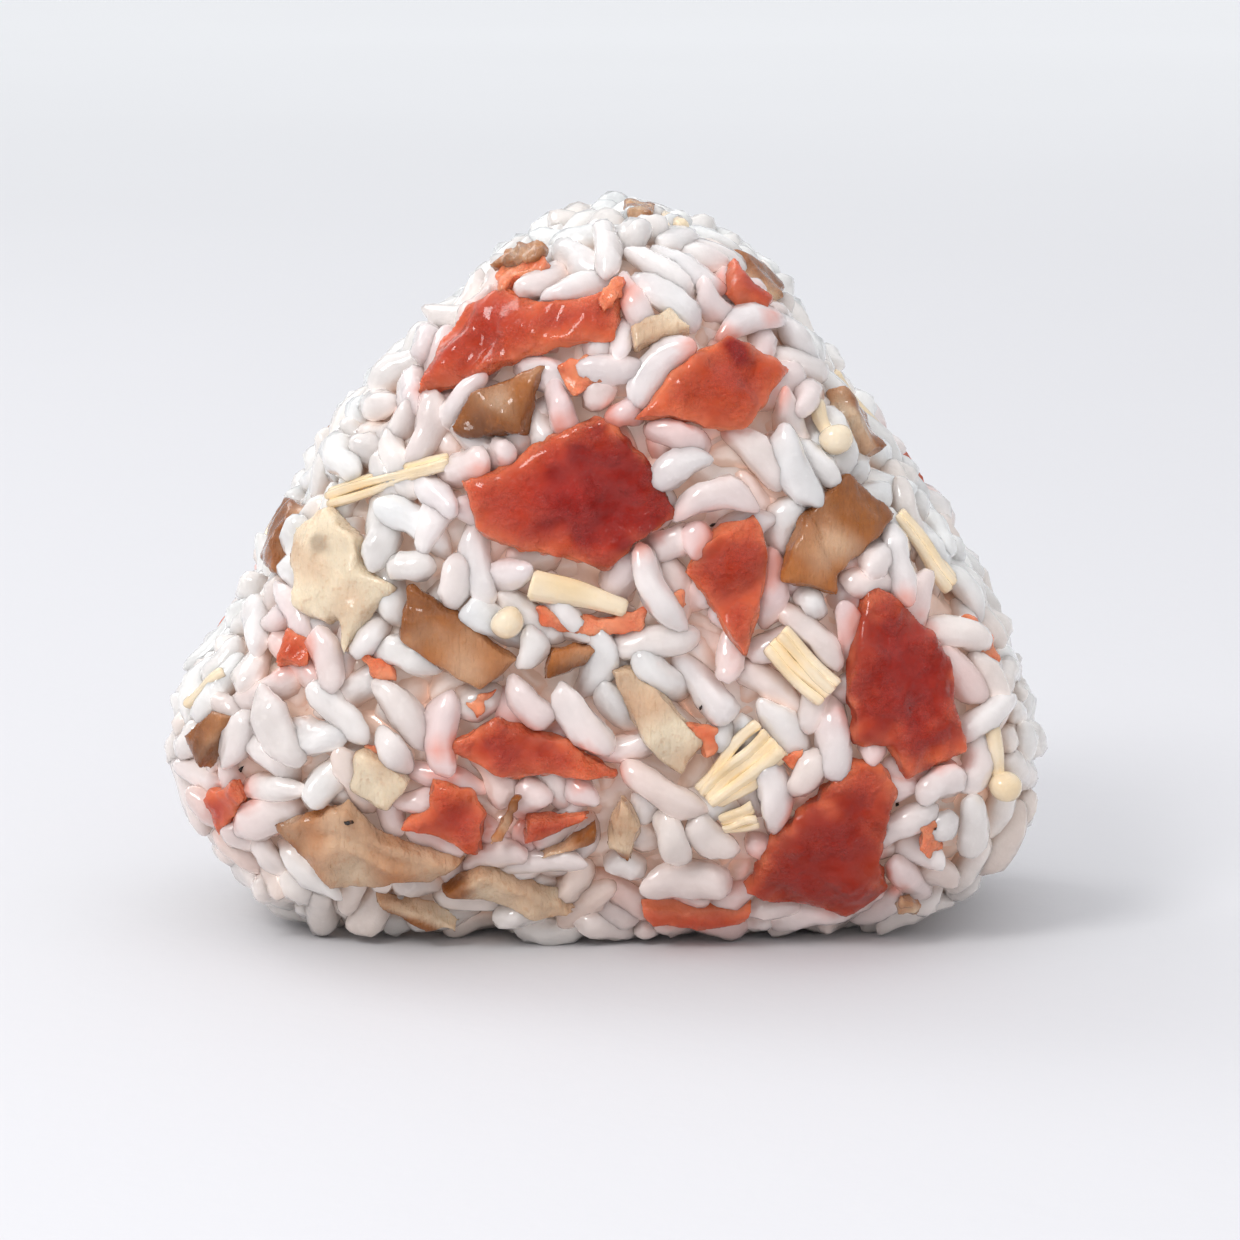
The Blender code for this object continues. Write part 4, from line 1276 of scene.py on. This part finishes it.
def build_mushroom(material):
    """Slices of mushroom, one for each mushroom node, with the skin on one side."""
    right, up, _ = sight_frame(FRONT)
    for seed, node in enumerate(toppings("mushroom")):
        points, faces, rim = shape_topping(node, MUSHROOM_SURFACE, MUSHROOM_SEED + seed)
        _, out = surveyed(points)
        points = points + fold_height(node, points)[:, None] * out
        look = SLICES.get(node, OTHER_SLICE)
        angle = math.radians(look.towards)
        share = (points - points.mean(axis=0)) @ (math.cos(angle) * right + math.sin(angle) * up)
        share = share / max(np.abs(share).max(), TINY) + 0.12 * ripples(points, 0.004, seed)
        skin = np.zeros(len(points))
        if look.skin:
            skin = smooth_step(share, 1 - 2.2 * look.skin, 1.1 - 0.9 * look.skin)
        masks = {
            "tan": look.tan + 0.15 * ripples(points, 0.006, seed + 3),
            "skin": 0.85 * skin + 0.7 * look.skin * np.exp(-rim / 0.0008),
            "dark": dark_mask(node, points, seed) * (1.0 if node in DARK_PLACES else 0.4),
        }
        add_piece(f"{node}_slice", points, faces, material, "mushroom", [node], masks)


def stem_points(side, bunch, offset, half, height, draw):
    """Points, faces and masks of one stem of a bundle, laid on the ball."""
    shares = np.linspace(0, 1, STEM_RINGS)
    start, end = np.array(bunch.start) * MM, np.array(bunch.end) * MM
    skin = lay_on(side, start + shares[:, None] * (end - start))
    _, out = surveyed(skin)
    along = unit(np.gradient(skin, axis=0))
    across = np.cross(along, out)
    width = MM * (bunch.start_width + shares * (bunch.end_width - bunch.start_width))
    wander = STEM_WANDER * np.sin(TURN * shares * draw.uniform(0.5, 1.1) + draw.uniform(0, TURN))
    lift = height + STEM_WAVE * np.sin(TURN * shares * draw.uniform(0.6, 1.3) + draw.uniform(0, TURN))
    middle = skin + ((offset + wander) * width)[:, None] * across + (lift - STEM_BED)[:, None] * out
    turns = TURN * np.arange(STEM_SIDES) / STEM_SIDES
    phase = draw.uniform(0, TURN, 2)
    waves = zip(STEM_RIDGES, phase)
    ridge = 1 + sum(rise * np.cos(number * turns + start) for (number, rise), start in waves)
    swell = 1 + STEM_SWELLS[1] * np.sin(STEM_SWELLS[0] * shares + phase[0])
    ends = np.minimum(shares, 1 - shares) * np.linalg.norm(skin[-1] - skin[0]) / STEM_ROUNDING
    swell *= STEM_END_WIDTH + (1 - STEM_END_WIDTH) * np.sqrt(np.clip(ends, 0, 1))
    thick = half * width * swell
    flat = np.minimum(thick, STEM_HALF_HEIGHT)
    ring = thick[:, None, None] * (ridge * np.cos(turns))[None, :, None] * across[:, None]
    ring = ring + flat[:, None, None] * (ridge * np.sin(turns))[None, :, None] * out[:, None]
    points = (middle[:, None] + ring).reshape(-1, 3)
    tips = np.stack([middle[0] - STEM_TIP * along[0], middle[-1] + STEM_TIP * along[-1]])
    points = np.concatenate([points, tips])
    keep_above(points, PIECE_GROUND)
    thread = 0.5 + 0.5 * np.cos(STEM_THREADS * turns + phase[1])
    thread = np.concatenate([np.tile(thread, STEM_RINGS), [0.5, 0.5]])
    return points, grain_faces(STEM_RINGS, STEM_SIDES), thread


def cap_points(side, bunch):
    """A small round cap over the end of a stem, domed outwards with a soft underside."""
    skin = lay_on(side, np.array([bunch.start, bunch.end]) * MM)
    _, out = surveyed(skin)
    along = unit(skin[1] - skin[0])
    across = np.cross(along, out[1])
    middle = skin[1] + (CAP_RADIUS - STEM_BED) * out[1]
    bends = np.pi * np.arange(1, CAP_RINGS + 1) / (CAP_RINGS + 1)
    turns = TURN * np.arange(CAP_SIDES) / CAP_SIDES
    dome = np.where(bends > np.pi / 2, np.cos(bends), CAP_FLATNESS * np.cos(bends))
    radius = CAP_RADIUS * np.sin(bends) ** CAP_FULLNESS
    rounds = np.cos(turns)[:, None] * across + np.sin(turns)[:, None] * out[1]
    points = middle - CAP_RADIUS * dome[:, None, None] * along + radius[:, None, None] * rounds[None]
    tips = [middle - CAP_FLATNESS * CAP_RADIUS * along, middle + CAP_RADIUS * along]
    points = np.concatenate([points.reshape(-1, 3), tips])
    return points, grain_faces(CAP_RINGS, CAP_SIDES), np.full(len(points), 0.5)


def bundle_parts(side, bunch, lift, draw):
    """The stems of a bundle, side by side, and its cap. The lift raises the stems."""
    share = 1.0 if bunch.stems == 1 else STEM_CROWDING / bunch.stems
    rows = [0.0] if bunch.stems == 1 else np.linspace(-0.5, 0.5, bunch.stems) * (1 - share)
    mean = MM * (bunch.start_width + bunch.end_width) / 2
    parts = []
    for i, row in enumerate(rows):
        half = share * draw.uniform(0.9, 1.1) / 2
        height = lift + min(half * mean, STEM_HALF_HEIGHT) + (STEM_STEP if i % 2 else 0.0)
        parts.append(stem_points(side, bunch, row, half, height, draw))
    if bunch.cap:
        parts.append(cap_points(side, bunch))
    return parts


def build_enoki(settings):
    """Bundles of enoki stems, one for each enoki node, and the scraps among the grains."""
    material = enoki_material(settings)
    draw = np.random.default_rng(SEED + 30)
    bundles = [(side, node, node, bunch) for side, rows in BUNCHES.items() for node, bunch in rows.items()]
    bundles += [(FRONT, "rice", f"enoki_scrap_{i}", bunch) for i, bunch in enumerate(ENOKI_SCRAPS)]
    for side, node, name, bunch in bundles:
        parts = bundle_parts(side, bunch, SCRAP_LIFT if node == "rice" else 0.0, draw)
        points, faces = joined([part[:2] for part in parts])
        masks = {
            "thread": np.concatenate([part[2] for part in parts]),
            "yellow": 0.35 + 0.2 * ripples(points, 0.005, len(points)),
        }
        add_piece(f"{name}_stems", points, faces, material, "enoki", [node], masks)


# Small pieces between the grains, seen from the front: height of the upper side above the outside
# and corners, in millimetres
PLUM_SHREDS = (
    (0.3, ((-9.1, 58.5), (-7.7, 59.6), (-4.6, 59.2), (-4.9, 57.8), (-7.7, 57.4), (-8.9, 56.0))),
    (0.8, ((0.0, 55.1), (1.6, 57.2), (2.4, 57.0), (2.0, 55.6), (0.5, 54.0))),
    (-0.1, ((-5.6, 28.2), (0.0, 26.9), (4.2, 28.0), (3.8, 25.8), (-0.9, 25.4), (-5.2, 26.4))),
    (-0.1, ((28.9, 8.5), (30.2, 9.0), (31.2, 6.5), (30.0, 5.0), (29.1, 6.2))),
    (-0.2, ((7.4, 17.8), (10.5, 17.4), (11.2, 15.9), (9.5, 14.5), (8.8, 16.0))),
    (-0.3, ((33.6, 27.9), (36.4, 25.6), (36.8, 23.2), (34.9, 24.2))),
    (-0.4, ((-21.6, 24.4), (-18.6, 23.0), (-18.0, 21.4), (-20.2, 21.7))),
    (-0.3, ((-12.0, 19.7), (-9.0, 20.7), (-10.9, 18.0))),
    (-0.4, ((-21.0, 15.7), (-18.0, 15.7), (-17.4, 13.3), (-20.2, 13.6))),
    (0.1, ((6.1, 29.3), (7.5, 29.4), (7.7, 28.0), (6.5, 27.9))),
    (-0.3, ((16.2, 14.7), (18.3, 15.5), (17.8, 13.0))),
    (-0.4, ((-4.0, 49.5), (-1.0, 50.4), (0.6, 48.2), (-2.4, 46.6))),
)
MUSHROOM_SCRAPS = (
    ((-9.5, 58.2), (-7.0, 60.2), (-4.5, 60.2), (-5.0, 58.7)),
    ((27.2, 2.2), (29.2, 1.6), (28.2, 0.6), (26.9, 1.0)),
    ((-7.6, 11.3), (-6.8, 11.5), (-8.6, 7.5), (-9.6, 7.5)),
    ((2.3, 65.0), (5.0, 64.4), (4.6, 63.2), (2.6, 63.4)),
)
SHRED_DEPTH = 0.0012
SHRED_VOXEL = 0.00024
SHRED_SEEDS = 1000
SHRED_UNEVENNESS = 0.00010
SCRAP_TOP = 0.0009


def sheet(corners, top, seed):
    """Points and faces of a small flat piece that lies along the outside, softened at its edges."""
    skin = lay_on(FRONT, np.array(corners) * MM)
    _, out = surveyed(skin)
    count = len(skin)
    mesh = bpy.data.meshes.new("sheet")
    points = np.concatenate([skin + (top - SHRED_DEPTH) * out, skin + top * out])
    faces = [tuple(range(count)), tuple(reversed(range(count, 2 * count)))]
    faces += [(i, i + count, (i + 1) % count + count, (i + 1) % count) for i in range(count)]
    mesh.from_pydata(points.tolist(), [], faces)
    shape = bmesh.new()
    shape.from_mesh(mesh)
    bmesh.ops.recalc_face_normals(shape, faces=shape.faces)
    shape.to_mesh(mesh)
    shape.free()
    points, normals, faces = remeshed(mesh, SHRED_VOXEL)
    moved = points + (SHRED_UNEVENNESS * ripples(points, 0.0014, seed))[:, None] * normals
    keep_above(moved, PIECE_GROUND)
    return moved, faces


def build_shreds(material):
    """Shreds of plum that the grains poke through, in the plum's own material."""
    draw = np.random.default_rng(SEED + 70)
    sheets = [sheet(corners, top * MM, int(draw.integers(SHRED_SEEDS))) for top, corners in PLUM_SHREDS]
    points, faces = joined(sheets)
    masks = {
        "rim": 0.9 + 0.2 * ripples(points, 0.003, SEED),
        "warmth": 0.9 + 0.2 * ripples(points, 0.004, SEED + 1),
        "thin": 0.75 + 0.3 * ripples(points, 0.003, SEED + 2),
    }
    add_piece("plum_shreds", points, faces, material, "plum", ["rice"], masks)


def build_mushroom_scraps(material):
    """Scraps of mushroom between the grains, in the mushroom's own material."""
    draw = np.random.default_rng(SEED + 71)
    sheets = [sheet(corners, SCRAP_TOP, int(draw.integers(SHRED_SEEDS))) for corners in MUSHROOM_SCRAPS]
    points, faces = joined(sheets)
    masks = {
        "tan": 0.6 + 0.2 * ripples(points, 0.003, SEED),
        "skin": 0.5 + 0.3 * ripples(points, 0.004, SEED + 1),
        "dark": 0.3 * smooth_step(ripples(points, 0.004, SEED + 2), 0.3, 1.2),
    }
    add_piece("mushroom_scraps", points, faces, material, "mushroom", ["rice"], masks)


# Specks on the front: place in millimetres, length and turn
SPECKS = (
    ((10.2, 35.4), 0.9, 20),
    ((9.1, 19.2), 0.7, 60),
    ((-32.3, 13.5), 0.9, 50),
    ((-22.3, 8.9), 1.0, 0),
    ((26.8, 10.5), 0.8, 80),
    ((30.1, 8.3), 0.4, 30),
)
SPECK_SIDES = 7
SPECK_RAGGED = (0.55, 1.15)
SPECK_WIDTH = 0.5  # share of the length
SPECK_LEVELS = ((-0.00005, 1.0), (0.00018, 0.8))  # height of both faces, and their share of the size


def speck_shape(middle, out, along, length, draw):
    """Points and faces of one flake that lies on a surface."""
    across = np.cross(out, along)
    points = []
    for level, share in SPECK_LEVELS:
        for i in range(SPECK_SIDES):
            reach = length / 2 * draw.uniform(*SPECK_RAGGED)
            around = TURN * i / SPECK_SIDES
            spot = reach * (math.cos(around) * along + SPECK_WIDTH * math.sin(around) * across)
            points.append(middle + spot * share + level * out)
    low = range(SPECK_SIDES)
    faces = [tuple(reversed(low)), tuple(SPECK_SIDES + i for i in low)]
    return np.array(points), faces + band(0, SPECK_SIDES, SPECK_SIDES)


def build_specks(settings):
    """Tiny dark flakes that lie on whatever the eye meets at their place."""
    right, up, back = sight_frame(FRONT)
    graph = bpy.context.evaluated_depsgraph_get()
    shown = [item for item in bpy.context.scene.objects if item.get("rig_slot")]
    trees = [BVHTree.FromObject(item, graph) for item in shown]
    draw = np.random.default_rng(SEED + 60)
    parts = []
    for place, length, angle in SPECKS:
        eye = Vector(place[0] * MM * right + place[1] * MM * up + SIGHT * back)
        hits = [tree.ray_cast(eye, Vector(-back)) for tree in trees]
        spot, normal, _, _ = min((hit for hit in hits if hit[0]), key=lambda hit: hit[3])
        out = np.array(normal)
        turn = math.radians(angle)
        along = math.cos(turn) * right + math.sin(turn) * up
        along = unit(along - (along @ out) * out)
        parts.append(speck_shape(np.array(spot), out, along, length * MM, draw))
    points, faces = joined(parts)
    add_piece("specks", points, faces, speck_material(settings), "mushroom")


# Stage

FLOOR_RADII = (0.02, 0.1, 0.2, 0.3, 0.45, 0.6, 0.8, 1.1, 1.5, 2.0, 3.0)
FLOOR_SIDES = 96
RISE_RADIUS, RISE_RINGS = 2.0, 8
FAR = (0.15, 1.5)  # the floor turns from its near to its far colour between these radii
# Lamps: place and size
LAMPS = {
    "window": ((-0.38, -0.46, 0.56), 0.24),
    "key": ((-0.40, 0.34, 0.55), 0.30),
    "fill": ((0.45, -0.60, 0.40), 0.50),
}


def build_floor(settings):
    """A wide round pale floor that rises a little at its rim."""
    profile = [(radius, 0.0) for radius in FLOOR_RADII]
    for i in range(1, RISE_RINGS + 1):
        bend = math.pi / 4 * i / RISE_RINGS
        reach = FLOOR_RADII[-1] + RISE_RADIUS * math.sin(bend)
        profile.append((reach, RISE_RADIUS * (1 - math.cos(bend))))
    points = [
        (radius * math.cos(TURN * i / FLOOR_SIDES), radius * math.sin(TURN * i / FLOOR_SIDES), height)
        for radius, height in profile
        for i in range(FLOOR_SIDES)
    ]
    faces = [tuple(range(FLOOR_SIDES))]
    for ring in range(len(profile) - 1):
        for i in range(FLOOR_SIDES):
            j = (i + 1) % FLOOR_SIDES
            low, high = ring * FLOOR_SIDES, (ring + 1) * FLOOR_SIDES
            faces.append((low + i, high + i, high + j, low + j))
    far = smooth_step(np.repeat([radius for radius, _ in profile], FLOOR_SIDES), *FAR)
    floor = add_piece("floor", points, faces, stage_material(settings), masks={"far": far})


def build_sky(settings):
    """Soft light all round, stronger from above."""
    world = bpy.data.worlds.new("studio")
    bpy.context.scene.world = world
    world.use_nodes = True
    tree = world.node_tree
    direction = add_node(tree, "ShaderNodeTexCoord").outputs["Generated"]
    height = add_node(tree, "ShaderNodeSeparateXYZ", {"Vector": direction}).outputs["Z"]
    strength = ranged(tree, height, 0.0, 1.0, settings.sky_strength, settings.zenith_strength)
    sky = tree.nodes["Background"]
    sky.inputs["Color"].default_value = (*settings.sky_color, 1.0)
    tree.links.new(strength, sky.inputs["Strength"])


def build_lamps(settings):
    """Square soft lights that face the ball."""
    for name, (place, size) in LAMPS.items():
        lamp = bpy.data.lights.new(name, "AREA")
        lamp.energy = getattr(settings, f"{name}_power")
        lamp.size = size
        made = bpy.data.objects.new(name, lamp)
        made.location = place
        made.rotation_euler = (Vector(CENTRE) - Vector(place)).to_track_quat("-Z", "Y").to_euler()
        bpy.context.scene.collection.objects.link(made)


# Camera: how the photo sees the ball
IMAGE_SIZE = 1240
ELEVATION = math.radians(10)
DISTANCE = 0.45
PIXELS_PER_METRE = 10600
BASE_PIXEL = (600, 906)  # where the middle of the base is in the image
SENSOR = 36.0


def add_camera():
    """A long lens that looks a little down at the front."""
    camera = bpy.data.objects.new("camera", bpy.data.cameras.new("camera"))
    bpy.context.scene.collection.objects.link(camera)
    forward = Vector((0, math.cos(ELEVATION), -math.sin(ELEVATION)))
    right = Vector((1, 0, 0))
    up = right.cross(forward)
    aside = (IMAGE_SIZE / 2 - BASE_PIXEL[0]) / PIXELS_PER_METRE
    above = (BASE_PIXEL[1] - IMAGE_SIZE / 2) / PIXELS_PER_METRE
    camera.location = aside * right + above * up - DISTANCE * forward
    camera.rotation_euler = (math.pi / 2 - ELEVATION, 0, 0)
    camera.data.sensor_width = SENSOR
    camera.data.lens = SENSOR * DISTANCE * PIXELS_PER_METRE / IMAGE_SIZE
    bpy.context.scene.camera = camera


# Settings


def color_property(name, code, description):
    """A colour setting, its default given as a code."""
    return bpy.props.FloatVectorProperty(
        name=name, description=description, subtype="COLOR", size=3, min=0, max=1, default=linear(code)
    )


def length_property(name, millimetres, description):
    """A length setting in metres, its default given in millimetres."""
    return bpy.props.FloatProperty(
        name=name, description=description, default=millimetres * MM, min=0, unit="LENGTH", precision=5
    )


def amount_property(name, default, description):
    """A setting that can't go below 0."""
    return bpy.props.FloatProperty(name=name, description=description, default=default, min=0)


class OnigiriRice(bpy.types.PropertyGroup):
    grain_length: length_property("Grain Length", 7.8, "Length of a whole cooked grain")
    grain_width: length_property("Grain Width", 3.15, "Width of a grain")
    grain_thickness: length_property("Grain Thickness", 2.8, "Thickness of a grain")
    outer_spacing: length_property("Outer Spacing", 2.85, "Least distance of the grains that show")
    under_spacing: length_property("Under Spacing", 3.6, "Least distance of the grains underneath")
    overlap: amount_property("Overlap", 0.26, "How far sticky grains press into each other, as a share")
    clear_color: color_property("Clear Rice", "D2D4D3", "Colour of a see-through grain")
    milky_color: color_property("Milky Rice", "ECEEEC", "Colour of a milky grain")
    # Also paints warm shade deep between the grains and low on the ball
    broth_color: color_property("Broth", "DEAE8A", "Rice deep down, tinted by broth")
    juice_color: color_property("Juice", "E6B0AC", "Rice tinted by plum juice")
    # A painted glow: emission on the deep rice in place of light passed on into the gaps
    glow_color: color_property("Glow", "645850", "Light that the rice passes on into the gaps")
    smear_color: color_property("Smear", "E0714A", "Plum smeared on the rice")


class OnigiriToppings(bpy.types.PropertyGroup):
    plum_color: color_property("Plum", "AE2A22", "Crimson flesh of the plum")
    plum_warm_color: color_property("Warm Plum", "B03A1C", "Orange flesh of the plum")
    plum_edge_color: color_property("Plum Edge", "E2683E", "Where the plum is thin")
    plum_thin_color: color_property("Thin Plum", "F2946C", "Shreds that the light comes through")
    # Dark where the plum is thick, and painted shade over the right-hand plum pieces
    plum_dark_color: color_property("Dark Plum", "8E180E", "Where the plum is thick")
    flesh_color: color_property("Mushroom Flesh", "EEDABC", "Pale inside of a mushroom")
    tan_color: color_property("Mushroom Tan", "B87038", "Simmered flesh")
    skin_color: color_property("Mushroom Skin", "8C5226", "Brown outside of a cap")
    gill_color: color_property("Mushroom Dark", "6A422C", "Darkest edge of a cap")
    enoki_color: color_property("Enoki", "F4E2C6", "Pale stems")
    enoki_deep_color: color_property("Enoki Deep", "ECCFA2", "Deeper cream of the stems")
    speck_color: color_property("Speck", "2A221C", "Charred specks")


class OnigiriStage(bpy.types.PropertyGroup):
    floor_color: color_property("Floor", "DBDADC", "Colour of the floor round the ball")
    wall_color: color_property("Wall", "F7F7F7", "Colour of the floor far behind the ball")
    sky_color: color_property("Sky", "F4F6FA", "Colour of the light all round")
    sky_strength: amount_property("Sky Strength", 0.52, "Strength of the light all round")
    zenith_strength: amount_property("Zenith Strength", 1.20, "Strength of the light from straight above")
    key_power: amount_property("Key Power", 0.9, "Power of the light from behind on the left, in watts")
    fill_power: amount_property("Fill Power", 0.15, "Power of the light in front, in watts")
    window_power: amount_property("Window Power", 2.4, "Power of the window in front on the left, in watts")


# Operators


class ONIGIRI_OT_lay_plum(bpy.types.Operator):
    """Lay the torn pieces of pickled plum"""

    bl_idname = "onigiri.lay_plum"
    bl_label = "Lay Plum"

    def execute(self, context):
        material = plum_material(context.scene.onigiri_toppings)
        build_plum(material)
        build_shreds(material)
        return {"FINISHED"}


class ONIGIRI_OT_lay_mushroom(bpy.types.Operator):
    """Lay the slices of mushroom"""

    bl_idname = "onigiri.lay_mushroom"
    bl_label = "Lay Mushroom"

    def execute(self, context):
        material = mushroom_material(context.scene.onigiri_toppings)
        build_mushroom(material)
        build_mushroom_scraps(material)
        return {"FINISHED"}


class ONIGIRI_OT_lay_enoki(bpy.types.Operator):
    """Lay the bundles of enoki stems"""

    bl_idname = "onigiri.lay_enoki"
    bl_label = "Lay Enoki"

    def execute(self, context):
        build_enoki(context.scene.onigiri_toppings)
        return {"FINISHED"}


class ONIGIRI_OT_press_rice(bpy.types.Operator):
    """Pack the grains of rice round the toppings"""

    bl_idname = "onigiri.press_rice"
    bl_label = "Press Rice"

    def execute(self, context):
        build_rice(context.scene.onigiri_rice)
        return {"FINISHED"}


class ONIGIRI_OT_scatter_specks(bpy.types.Operator):
    """Scatter the dark specks over the finished surface"""

    bl_idname = "onigiri.scatter_specks"
    bl_label = "Scatter Specks"

    def execute(self, context):
        build_specks(context.scene.onigiri_toppings)
        return {"FINISHED"}


class ONIGIRI_OT_set_stage(bpy.types.Operator):
    """Set the pale floor, the soft lights and the camera"""

    bl_idname = "onigiri.set_stage"
    bl_label = "Set Stage"

    def execute(self, context):
        settings = context.scene.onigiri_stage
        build_floor(settings)
        build_sky(settings)
        build_lamps(settings)
        add_camera()
        context.scene.view_settings.view_transform = "Standard"
        return {"FINISHED"}


OPERATORS = (
    ONIGIRI_OT_lay_plum,
    ONIGIRI_OT_lay_mushroom,
    ONIGIRI_OT_lay_enoki,
    ONIGIRI_OT_press_rice,
    ONIGIRI_OT_scatter_specks,
    ONIGIRI_OT_set_stage,
)
SETTINGS = {
    "onigiri_rice": OnigiriRice,
    "onigiri_toppings": OnigiriToppings,
    "onigiri_stage": OnigiriStage,
}


class ONIGIRI_PT_panel(bpy.types.Panel):
    bl_label = "Onigiri"
    bl_idname = "ONIGIRI_PT_panel"
    bl_space_type = "VIEW_3D"
    bl_region_type = "UI"
    bl_category = "Onigiri"

    def draw(self, context):
        for name, group in SETTINGS.items():
            box = self.layout.box()
            for label in group.__annotations__:
                box.prop(getattr(context.scene, name), label)
        for operator in OPERATORS:
            self.layout.operator(operator.bl_idname)


def register():
    for made in (*SETTINGS.values(), *OPERATORS, ONIGIRI_PT_panel):
        bpy.utils.register_class(made)
    for name, group in SETTINGS.items():
        setattr(bpy.types.Scene, name, bpy.props.PointerProperty(type=group))


def unregister():
    for name in SETTINGS:
        delattr(bpy.types.Scene, name)
    for made in (ONIGIRI_PT_panel, *reversed(OPERATORS), *reversed(SETTINGS.values())):
        bpy.utils.unregister_class(made)


def main():
    register()
    for operator in OPERATORS:
        group, name = operator.bl_idname.split(".")
        getattr(getattr(bpy.ops, group), name)()


if __name__ == "__main__":
    main()
